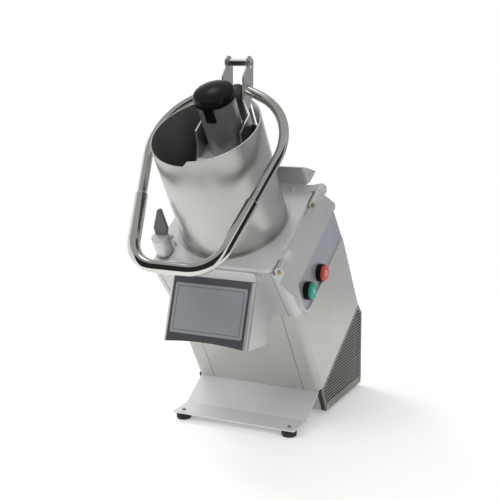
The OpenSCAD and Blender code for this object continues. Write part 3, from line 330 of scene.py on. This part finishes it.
# Steel: brushed round the spindle's axis, polished or turned
# A brushed range that crosses a roughness of about 0.27 renders speckled, so this one stays above it
BRUSHED_ROUGH = (0.285, 0.32)
BRUSHED_ROUND = (0.01, 0.01, 1.6)
brushed = finish_of("steel_brushed", ((0.50, 0.495, 0.48), (0.54, 0.535, 0.52)), rough=BRUSHED_ROUGH,
                    metal=0.85, cloud=3, grain=900, bump=0.001, grain_scale=BRUSHED_ROUND,
                    edge=(0.72, 0.72, 0.71), reach=0.6, gloss=0.15)
tube_steel = finish_of("steel_tube", ((0.48, 0.485, 0.49), (0.53, 0.535, 0.54)), rough=BRUSHED_ROUGH,
                       metal=0.75, cloud=4, grain=900, bump=0.02, grain_scale=BRUSHED_ROUND,
                       edge=(0.70, 0.70, 0.69), reach=0.6, gloss=0.15)
polished = finish_of("steel_polished", ((0.60, 0.585, 0.555), (0.66, 0.645, 0.615)), rough=(0.05, 0.11),
                     metal=1.0, cloud=14, grain=1500, bump=0.02, soil=0.02)
fastener = finish_of("steel_fastener", ((0.45, 0.45, 0.45), (0.58, 0.58, 0.57)), rough=(0.20, 0.32),
                     metal=1.0, cloud=40, grain=2500, bump=0.1, edge=(0.75, 0.75, 0.74), gloss=0.12)
steel = finish_of("steel_turned", ((0.40, 0.40, 0.41), (0.50, 0.50, 0.51)), rough=(0.26, 0.4), metal=1.0,
                  cloud=25, grain=1200, bump=0.15, grain_scale=(0.1, 0.1, 1.5))
bronze = finish_of("bronze_turned", ((0.42, 0.27, 0.10), (0.55, 0.37, 0.15)), rough=(0.25, 0.38), metal=1.0,
                   cloud=30, grain=1800, bump=0.1)

# Plate, rubber, plastics and enamel
label = finish_of("label_face", ((0.29, 0.305, 0.33), (0.32, 0.335, 0.36)), rough=(0.34, 0.44), metal=0.15,
                  cloud=12, grain=2200, bump=0.05)
label_line = finish_of("label_line", ((0.03, 0.033, 0.04), (0.05, 0.054, 0.06)), rough=(0.4, 0.5), metal=0.0,
                       cloud=30, grain=2000, bump=0.05)
rubber = finish_of("rubber_black", ((0.014, 0.014, 0.014), (0.03, 0.03, 0.03)), rough=(0.6, 0.8), metal=0.0,
                   cloud=30, grain=1500, bump=0.4, head=False)
seal = finish_of("seal_grey", ((0.05, 0.05, 0.048), (0.08, 0.08, 0.077)), rough=(0.5, 0.65), metal=0.0,
                 cloud=30, grain=1500, bump=0.2)
black = finish_of("plastic_black", ((0.006, 0.006, 0.007), (0.011, 0.011, 0.012)), rough=(0.17, 0.24),
                  metal=0.0, cloud=20, grain=1600, bump=0.02, edge=(0.05, 0.05, 0.05), share=0.35,
                  Specular_IOR_Level=0.12)
dark = finish_of("plastic_dark", ((0.055, 0.050, 0.052), (0.085, 0.078, 0.078)), rough=(0.34, 0.48),
                 metal=0.0, cloud=20, grain=1500, bump=0.2, edge=(0.14, 0.135, 0.13), share=0.35)
wing = finish_of("wing_grey", ((0.15, 0.14, 0.136), (0.20, 0.188, 0.18)), rough=(0.34, 0.46), metal=0.3,
                 cloud=24, grain=1800, bump=0.15, edge=(0.30, 0.29, 0.28))
green = button_finish("button_green", ((0.008, 0.32, 0.235), (0.016, 0.38, 0.285)))
red = button_finish("button_red", ((0.62, 0.055, 0.028), (0.70, 0.075, 0.038)))
white = finish_of("mark_white", ((0.72, 0.72, 0.70), (0.80, 0.80, 0.78)), rough=(0.4, 0.5), metal=0.0,
                  cloud=60, grain=2000, bump=0.05)
motor_case = finish_of("motor_enamel", ((0.10, 0.10, 0.11), (0.15, 0.15, 0.16)), rough=(0.4, 0.5), metal=0.0,
                       cloud=20, grain=1200, bump=0.1)

FINISH = {
    "cast": cast, "paint": paint, "grille": grille, "stainless": brushed, "polished": polished,
    "fastener": fastener, "label": label, "rubber": rubber, "black_plastic": black, "dark_plastic": dark,
    "green": green, "red": red, "bronze": bronze, "steel": steel, "motor_case": motor_case,
}
OWN_FINISH = {
    "outlet_spout": spout, "base_casting": body_cast, "lid_plate": lid_cast, "feed_tube": tube_steel,
    "foot_plate": foot_paint_lit, "knob_wing": wing,
}

# Rounded edges of the CAD nodes, by width in millimetres; the nodes that aren't named stay sharp
ROUNDING = {
    1.6: "base_casting knob_wing",
    1.4: "lid_plate guide_housing",
    1.2: "outlet_spout knob_drum",
    0.8: "front_shelf button_collars start_button stop_button pestle pestle_cap pusher_sleeve",
    0.6: "latch_stud pusher_plate ejector_plate",
    0.5: "foot_plate left_cheek right_cheek hinge_pins",
    0.4: "feed_cylinder feed_tube left_louvre_cover right_louvre_cover left_side_panel right_side_panel",
    0.3: "front_panel rear_panel lid_boss stand_frame bottom_plate cutting_disc",
    0.25: "label_plate",
}
ROUNDING_OF = {node: width for width, names in ROUNDING.items() for node in names.split()}
# The button recess of this node shades wrongly when its flat faces are joined
KEEP_FACES = ("base_casting",)
WELD_GAP = 0.00001
FLAT_ANGLE = math.radians(0.4)
BEVEL_ANGLE = math.radians(32)
BEVEL_STEPS = 3
NORMAL_WEIGHT = 50


def dress(node, finish, width):
    """Gives a CAD node its finish and rounds its edges by width millimetres, or leaves them for 0."""
    o = nodes[node]
    o.data.materials.clear()
    o.data.materials.append(finish.mat)
    if not width:
        return
    weld = o.modifiers.new("weld", "WELD")
    weld.merge_threshold = WELD_GAP
    if node not in KEEP_FACES:
        flat = o.modifiers.new("flat", "DECIMATE")
        flat.decimate_type = "DISSOLVE"
        flat.angle_limit = FLAT_ANGLE
    bevel = o.modifiers.new("bevel", "BEVEL")
    bevel.width = width * MM
    bevel.segments = BEVEL_STEPS
    bevel.limit_method = "ANGLE"
    bevel.angle_limit = BEVEL_ANGLE
    bevel.use_clamp_overlap = True
    shade = o.modifiers.new("shade", "WEIGHTED_NORMAL")
    shade.weight = NORMAL_WEIGHT
    shade.keep_sharp = False


for part in frame["record"]["subparts"]:
    own = OWN_FINISH.get(part["node"], FINISH[part["material_slot"]])
    dress(part["node"], own, ROUNDING_OF.get(part["node"], 0))


# Detail pieces, drawn in millimetres

IN_HEAD = HEAD @ Matrix.Scale(MM, 4)
IN_WORLD = Matrix.Scale(MM, 4)
AS_DRAWN = Matrix.Identity(4)
SIDES = (-1, 1)
SHARP_ANGLE = 40


def piece(name, bm, body, finish, place, stands_for=None, sharp=SHARP_ANGLE):
    """Makes a piece from a drawing, puts it in its place and lets it ride on a body.

    sharp: smallest angle in degrees of an edge that is shaded as one.
    """
    bm.transform(place)
    bmesh.ops.recalc_face_normals(bm, faces=bm.faces)
    mesh = bpy.data.meshes.new(name)
    bm.to_mesh(mesh)
    bm.free()
    for p in mesh.polygons:
        p.use_smooth = True
    mesh.set_sharp_from_angle(angle=math.radians(sharp))
    o = bpy.data.objects.new(name, mesh)
    scene.collection.objects.link(o)
    mesh.materials.append(finish.mat)
    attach(o, body)
    if stands_for:
        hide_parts(stands_for)


def moved(x, y, z):
    return Matrix.Translation((x, y, z))


def out_x(x, y, z, side=1):
    """Place with its Z along the X axis, to the right for side 1 and to the left for -1."""
    return moved(x, y, z) @ Matrix.Rotation(side * math.pi / 2, 4, "Y")


def out_y(x, y, z):
    """Place with its Z along +Y."""
    return moved(x, y, z) @ Matrix.Rotation(-math.pi / 2, 4, "X")


def skin(bm, rings, place=AS_DRAWN, closed=False):
    """Joins rings of points with quads: if closed, the last ring to the first one too, and else with caps."""
    rows = [[bm.verts.new(p) for p in ring] for ring in rings]
    count = len(rows[0])
    pairs = list(zip(rows, rows[1:]))
    if closed:
        pairs.append((rows[-1], rows[0]))
    for low, high in pairs:
        for i in range(count):
            j = (i + 1) % count
            bm.faces.new((low[i], low[j], high[j], high[i]))
    if not closed:
        bm.faces.new(list(reversed(rows[0])))
        bm.faces.new(rows[-1])
    bmesh.ops.transform(bm, matrix=place, verts=[v for row in rows for v in row])


def turns(count):
    return [2 * math.pi * i / count for i in range(count)]


def oval(x, y, z, count=32):
    return [(x * math.cos(a), y * math.sin(a), z) for a in turns(count)]


def circle(r, z, count):
    return oval(r, r, z, count)


def hexagon(r, z, count):
    """Hexagon of inner radius r with as many points as a circle of count points."""
    points = []
    for a in turns(count):
        reach = r / math.cos((a % (math.pi / 3)) - math.pi / 6)
        points.append((reach * math.cos(a), reach * math.sin(a), z))
    return points


def round_box(x, y, r, z, count=6):
    """Outline of a rectangle of half sizes x and y with round corners."""
    points = []
    for k, (sx, sy) in enumerate(((1, 1), (-1, 1), (-1, -1), (1, -1))):
        for i in range(count + 1):
            a = math.pi / 2 * (k + i / count)
            points.append((sx * (x - r) + r * math.cos(a), sy * (y - r) + r * math.sin(a), z))
    return points


def lathe(bm, profile, count, place, closed=False):
    """Turns a profile of (radius, height) about Z."""
    skin(bm, [circle(r, z, count) for r, z in profile], place, closed)


# Button-head screws: outline as shares of the radius and the height, and the hexagon socket
SCREW_POINTS = 36
SCREW_HEAD = ((1.0, 0.0), (1.0, 0.3), (0.94, 0.6), (0.80, 0.88), (0.66, 1.0))
SCREW_KEY = 0.5
SCREW_KEY_FOOT = (0.94, 0.45)


def screw(bm, size, place):
    """Screw head of a radius and height, its seat at Z = 0."""
    r, h = size
    key = SCREW_KEY * r
    rings = [circle(share * r, up * h, SCREW_POINTS) for share, up in SCREW_HEAD]
    rings.append(hexagon(key, h, SCREW_POINTS))
    rings.append(hexagon(SCREW_KEY_FOOT[0] * key, SCREW_KEY_FOOT[1] * h, SCREW_POINTS))
    skin(bm, rings, place)


BEAD_SECTION = ((-1.0, -0.2), (-0.7, 0.7), (0.0, 1.0), (0.7, 0.7), (1.0, -0.2))


def strip(bm, a, b, width, lift, normal):
    """Low rounded bead from a to b on a face with the given normal."""
    a, b, normal = Vector(a), Vector(b), Vector(normal)
    across = (b - a).normalized().cross(normal) * width / 2
    skin(bm, [[p + across * u + normal * lift * v for u, v in BEAD_SECTION] for p in (a, b)])


# Sizes of the part that the details sit on
BODY_FRONT = 82.0
BODY_REAR = 139.0
BODY_LOW = 307.0
FRONT_EDGE = 116.2
SIDE_EDGE = 141.2
SEAM_X = 87.8
BUTTON_X = 130.0
START_AT = (-29.0, -109.0)
STOP_AT = (27.0, -121.0)
SPOUT_AT = (0.0, -108.596, -20.0)
LABEL_SIZE = (65.0, 41.0)
LABEL_MIDDLE = -53.0
LABEL_T = 1.0

# Bare plate: a thin border line
BORDER_IN = 5.0
BORDER_W = 0.7
BORDER_R = (2.5, 1.8)
BORDER_Z = (-0.1, 0.12)
on_label = moved(*SPOUT_AT) @ Matrix.Rotation(SPOUT_SLOPE, 4, "X") @ moved(0, LABEL_MIDDLE, LABEL_T)
bx, by = (half - BORDER_IN for half in LABEL_SIZE)
outer = [round_box(bx, by, BORDER_R[0], z) for z in BORDER_Z]
inner = [round_box(bx - BORDER_W, by - BORDER_W, BORDER_R[1], z) for z in reversed(BORDER_Z)]
bm = bmesh.new()
skin(bm, outer + inner, on_label, closed=True)
piece("label_border", bm, "base", label_line, IN_HEAD)

# Signs on the buttons: a ring for off and a stroke for on
SIGN_Z = (-0.1, 0.25)
RING_OUT = (6.2, 4.4)
RING_IN = (4.5, 2.7)
STROKE = (5.6, 1.1)
STROKE_R = 1.0
outer = [oval(*RING_OUT, z) for z in SIGN_Z]
inner = [oval(*RING_IN, z) for z in reversed(SIGN_Z)]
bm = bmesh.new()
skin(bm, outer + inner, out_x(BUTTON_X, *STOP_AT), closed=True)
piece("stop_sign", bm, "stop_button", white, IN_HEAD)
bm = bmesh.new()
skin(bm, [round_box(*STROKE, STROKE_R, z) for z in SIGN_Z], out_x(BUTTON_X, *START_AT))
piece("start_sign", bm, "start_button", white, IN_HEAD)

# Beads of sealant in the seams of the body
SEAM_W = 1.1
SEAM_LIFT = 0.15
bm = bmesh.new()
for side in SIDES:
    x = side * SEAM_X
    for y, top, normal in ((-BODY_FRONT, -FRONT_EDGE, (0, -1, 0)), (BODY_REAR, -SIDE_EDGE, (0, 1, 0))):
        strip(bm, (x, y, top), (x, y, -BODY_LOW), SEAM_W, SEAM_LIFT, normal)
piece("seam_beads", bm, "base", seal, IN_HEAD)

# Screws: rear panel, hinge pins, foot plate, cutting disc
REAR_SCREW = (4.0, 2.4)
REAR_SCREW_X = SEAM_X - 9
REAR_SCREW_END = 12
bm = bmesh.new()
for side in SIDES:
    for z in (-SIDE_EDGE - REAR_SCREW_END, -(SIDE_EDGE + BODY_LOW) / 2, REAR_SCREW_END - BODY_LOW):
        screw(bm, REAR_SCREW, out_y(side * REAR_SCREW_X, BODY_REAR, z))
piece("rear_screws", bm, "base", fastener, IN_HEAD)

HINGE_SCREW = (3.2, 1.2)
HINGE_X = 121.0
HINGE_Z = 5.0
HINGE_ENDS = (-106.5, 54.5)
bm = bmesh.new()
for y in HINGE_ENDS:
    screw(bm, HINGE_SCREW, moved(HINGE_X, y, HINGE_Z) @ Matrix.Rotation(math.pi / 2, 4, "X"))
piece("hinge_screws", bm, "base", bronze, IN_HEAD)

FOOT_SCREW = (4.0, 2.0)
FOOT_X = 101.0
FOOT_FRONT = -36.0
FOOT_TOP = 15.0
bm = bmesh.new()
for side in SIDES:
    screw(bm, FOOT_SCREW, moved(side * FOOT_X, FOOT_FRONT, FOOT_TOP))
piece("foot_screws", bm, "base", fastener, IN_WORLD)

BLADE_SCREW = (3.6, 1.6)
BLADE_SCREW_X = (36.0, 58.0, 76.0)
BLADE_SCREW_Y = 18.0
DISC_TOP = -8.5
bm = bmesh.new()
for x in BLADE_SCREW_X:
    screw(bm, BLADE_SCREW, moved(x, BLADE_SCREW_Y, DISC_TOP))
piece("blade_screws", bm, "spindle", fastener, IN_HEAD)

# Rubber feet with a groove under their upper lip
REAR_FOOT = (97.0, 251.0)
FRONT_FOOT_H = 12.5
REAR_FOOT_H = 7.0
FOOT_POINTS = 48


def foot_profile(h):
    return [(10.5, 0), (12.2, 0.8), (13.0, 2.4), (13.0, h - 3.0), (12.0, h - 2.6), (12.0, h - 1.6),
            (12.9, h - 1.2), (12.9, h)]


bm = bmesh.new()
for side in SIDES:
    lathe(bm, foot_profile(FRONT_FOOT_H), FOOT_POINTS, moved(side * FOOT_X, FOOT_FRONT, 0))
    lathe(bm, foot_profile(REAR_FOOT_H), FOOT_POINTS, moved(side * REAR_FOOT[0], REAR_FOOT[1], 0))
piece("turned_feet", bm, "base", rubber, IN_WORLD, "rubber_feet")

# Bolts of the cross bar, with washers
BAR_AT = (154.0, 217.0)
BAR_END = 20.0
WASHER = ((9.4, 0), (9.6, 0.3), (9.6, 0.9), (9.2, 1.2))
WASHER_POINTS = 40
BAR_BOLT = (8.2, 2.8)
BAR_BOLT_SEAT = 1.1
bm = bmesh.new()
for side in SIDES:
    place = out_x(side * BAR_END, *BAR_AT, side)
    lathe(bm, WASHER, WASHER_POINTS, place)
    screw(bm, BAR_BOLT, place @ moved(0, 0, BAR_BOLT_SEAT))
piece("bar_bolts", bm, "pusher", polished, IN_HEAD, "cross_bar_bolts")

# Hoop: rounded ends of the grip, and weld beads where the tube meets the cheeks
GUIDE_Y = 124.0
HOOP_Z = 190.0
HOOP_SLOPE = math.radians(17)
HOOP_TAPER = math.radians(12)
HOOP_SEAM = (96.18, 218.0)
GRIP_END = ((8.0, -2.4), (8.9, -2.3), (9.7, -1.6), (10.1, -0.6), (10.15, 0.2), (8.0, 0.2))
HOOP_POINTS = 48
in_hoop = (moved(0, GUIDE_Y, HOOP_Z) @ Matrix.Rotation(math.pi + HOOP_SLOPE, 4, "X")
           @ Matrix.Diagonal((1, 1, -1, 1)))
bm = bmesh.new()
for side in SIDES:
    along = Vector((-side * math.sin(HOOP_TAPER), math.cos(HOOP_TAPER), 0))
    turn = along.to_track_quat("Z", "Y").to_matrix().to_4x4()
    place = in_hoop @ moved(side * HOOP_SEAM[0], HOOP_SEAM[1], 0) @ turn
    lathe(bm, GRIP_END, HOOP_POINTS, place, closed=True)
piece("grip_ends", bm, "pusher", polished, IN_HEAD)

HOOP_ROOT = (20.4, 4.4)
HOOP_ROOT_A = math.radians(65)
WELD_R = 8.3
WELD_BEAD = 1.5
WELD_POINTS = 8
WELD_RIPPLE = 0.12
WELD_RIPPLES = 17


def weld_ring(side, a):
    """Section of a weld bead at angle a round the tube."""
    bead = WELD_BEAD * (1 + WELD_RIPPLE * math.sin(WELD_RIPPLES * a))
    ring = []
    for b in turns(WELD_POINTS):
        r = WELD_R + bead * math.cos(b)
        ring.append((side * (HOOP_ROOT[0] + bead * math.sin(b)),
                     HOOP_ROOT[1] + r * math.cos(a) / math.sin(HOOP_ROOT_A), r * math.sin(a)))
    return ring


bm = bmesh.new()
for side in SIDES:
    skin(bm, [weld_ring(side, a) for a in turns(HOOP_POINTS)], closed=True)
piece("hoop_welds", bm, "pusher", brushed, IN_HEAD @ in_hoop)

# Cable gland: six-sided nut, and a cap with ribs and a soft lip round the opening
GLAND_AT = (-58.533, 139.0, -259.0)
GLAND_NUT = ((12.2, 0), (13.2, 0.6), (13.2, 5.0), (11.8, 6.0))
GLAND_CAP = ((9.0, 5.5), (9.2, 6.2), (9.2, 12.5), (8.4, 15.5), (6.8, 17.4), (5.6, 18.0), (4.6, 17.6),
             (4.5, 8.0))
GLAND_BORE = 5.0
GLAND_POINTS = 48
GLAND_SHARP = 30
NUT_SIDES = 6
RIB = 0.35
RIB_Z = (6.0, 14.0)
RIB_STEP = 4


def ribbed_ring(r, z):
    """Ring of the cap, with its grooves where it is ribbed."""
    groove = RIB if RIB_Z[0] < z < RIB_Z[1] and r > GLAND_BORE else 0.0
    ring = []
    for i, a in enumerate(turns(GLAND_POINTS)):
        reach = r - groove * (i % RIB_STEP >= RIB_STEP / 2)
        ring.append((reach * math.cos(a), reach * math.sin(a), z))
    return ring


bm = bmesh.new()
lathe(bm, GLAND_NUT, NUT_SIDES, out_y(*GLAND_AT))
skin(bm, [ribbed_ring(r, z) for r, z in GLAND_CAP], out_y(*GLAND_AT))
piece("ribbed_gland", bm, "base", black, IN_HEAD, "cable_gland", GLAND_SHARP)


# Stage: floor, world, lamps, and walls and a ceiling for the reflections

WHITE = (1, 1, 1, 1)


def stage_mesh(name, verts, faces, material):
    mesh = bpy.data.meshes.new(name)
    mesh.from_pydata(verts, [], faces)
    mesh.materials.append(material)
    o = bpy.data.objects.new(name, mesh)
    scene.collection.objects.link(o)
    return o


def stage_sheet(name, x0, y0, x1, y1, z, material):
    corners = [(x0, y0, z), (x1, y0, z), (x1, y1, z), (x0, y1, z)]
    return stage_mesh(name, corners, [(0, 1, 2, 3)], material)


def seen_directly(tree):
    """1 for rays that show the background itself: from the camera, or by reflection or refraction."""
    path = tree.nodes.new("ShaderNodeLightPath")
    total = path.outputs["Is Camera Ray"]
    for ray in ("Is Glossy Ray", "Is Transmission Ray"):
        m = tree.nodes.new("ShaderNodeMath")
        m.operation = "MAXIMUM"
        tree.links.new(total, m.inputs[0])
        tree.links.new(path.outputs[ray], m.inputs[1])
        total = m.outputs[0]
    return total


FLOOR_R = 6.0
FLOOR_COLOUR = (0.80, 0.795, 0.78, 1)
FLOOR_GLOW = 0.27
FADE_FROM = 0.55
FADE_TO = 1.5


def floor_material():
    """White floor that takes the shadow near the object and fades into the white background."""
    n = Nodes("floor_white", principled=False)
    seen_by = seen_directly(n.tree)
    diffuse = n.add("ShaderNodeBsdfDiffuse")
    diffuse.inputs["Color"].default_value = FLOOR_COLOUR
    glow = n.add("ShaderNodeEmission")
    n.link(n.calc("MULTIPLY", seen_by, FLOOR_GLOW), glow.inputs["Strength"])
    near = n.add("ShaderNodeAddShader")
    n.link(diffuse.outputs[0], near.inputs[0])
    n.link(glow.outputs[0], near.inputs[1])
    plain = n.add("ShaderNodeEmission")
    plain.inputs["Color"].default_value = WHITE
    n.link(seen_by, plain.inputs["Strength"])
    pick = n.add("ShaderNodeMixShader")
    n.link(n.fade(n.measure("LENGTH", n.place("Object")), FADE_FROM, FADE_TO), pick.inputs["Fac"])
    n.link(near.outputs[0], pick.inputs[1])
    n.link(plain.outputs[0], pick.inputs[2])
    n.surface(pick)
    return n.mat


stage_sheet("floor", -FLOOR_R, -FLOOR_R, FLOOR_R, FLOOR_R, 0, floor_material())

# World: white where it is seen, and a lower level as light
AMBIENT = 0.62
world = bpy.data.worlds.new("world")
world.use_nodes = True
scene.world = world
sky = world.node_tree
sky.nodes.clear()
pick = sky.nodes.new("ShaderNodeMixShader")
sky.links.new(seen_directly(sky), pick.inputs["Fac"])
for socket, strength in ((pick.inputs[1], AMBIENT), (pick.inputs[2], 1.0)):
    background = sky.nodes.new("ShaderNodeBackground")
    background.inputs["Color"].default_value = WHITE
    background.inputs["Strength"].default_value = strength
    sky.links.new(background.outputs[0], socket)
end = sky.nodes.new("ShaderNodeOutputWorld")
sky.links.new(pick.outputs[0], end.inputs["Surface"])

LAMP_TARGET = (0, 0, 0.3)
LAMPS = (
    ("key_lamp", (-1.75, 0.95, 1.95), (0.9, 0.9), 20),
    ("front_lamp", (-1.25, -1.85, 1.85), (1.2, 0.9), 21),
    ("top_lamp", (-0.5, 0.8, 2.4), (1.6, 1.2), 10),
    ("fill_lamp", (2.0, -1.8, 1.1), (1.0, 1.2), 13),
)


def lamp(name, at, size, watts):
    """Soft lamp; reflections show the walls and the ceiling in its place."""
    data = bpy.data.lights.new(name, "AREA")
    data.shape = "RECTANGLE"
    data.size = size[0]
    data.size_y = size[1]
    data.energy = watts
    o = bpy.data.objects.new(name, data)
    scene.collection.objects.link(o)
    o.matrix_world = Matrix.Translation(at) @ aimed(at, LAMP_TARGET).to_matrix().to_4x4()
    o.visible_glossy = False


for row in LAMPS:
    lamp(*row)


def only_reflected(o):
    o.visible_camera = False
    o.visible_diffuse = False
    o.visible_shadow = False
    o.visible_transmission = False


# Walls: name, from and to angle in degrees, tone; each stands between two rings of (radius, height)
WALL_RINGS = ((0.85, 0.004), (1.3, 1.5))
WALL_STEPS = 48
WALL_BLUE = 1.06
WALLS = (
    ("front_wall", -140, -50, 0.03),
    ("right_wall", -30, 15, 0.03),
    ("side_wall", 15, 88, 0.45),
)


def wall(name, start, end, tone):
    n = Nodes(name, principled=False)
    glow = n.add("ShaderNodeEmission")
    glow.inputs["Color"].default_value = (tone, tone, WALL_BLUE * tone, 1)
    n.surface(glow)
    verts = []
    for i in range(WALL_STEPS + 1):
        a = math.radians(start + (end - start) * i / WALL_STEPS)
        verts += [(r * math.cos(a), r * math.sin(a), z) for r, z in WALL_RINGS]
    faces = [(2 * i, 2 * i + 2, 2 * i + 3, 2 * i + 1) for i in range(WALL_STEPS)]
    only_reflected(stage_mesh(name, verts, faces, n.mat))


for row in WALLS:
    wall(*row)

# Grey ceiling with one bright soft field in it
CEILING_BOX = (-2.6, -2.0, 1.8, 2.2)
CEILING_Z = 2.2
FIELD_AT = (-0.72, 0.16, CEILING_Z)
FIELD_R = 0.42
FIELD_CORE = 0.3
FIELD_TONES = (1.0, 0.15)
CEILING_STRENGTH = 3.0


def ceiling_material():
    n = Nodes("ceiling", principled=False)
    away = n.measure("DISTANCE", n.place("Object"), FIELD_AT)
    glow = n.add("ShaderNodeEmission")
    tone = n.ramp(n.fade(away, FIELD_CORE * FIELD_R, FIELD_R), (0.0, 1.0), FIELD_TONES)
    n.link(tone, glow.inputs["Color"])
    glow.inputs["Strength"].default_value = CEILING_STRENGTH
    n.surface(glow)
    return n.mat


only_reflected(stage_sheet("ceiling", *CEILING_BOX, CEILING_Z, ceiling_material()))
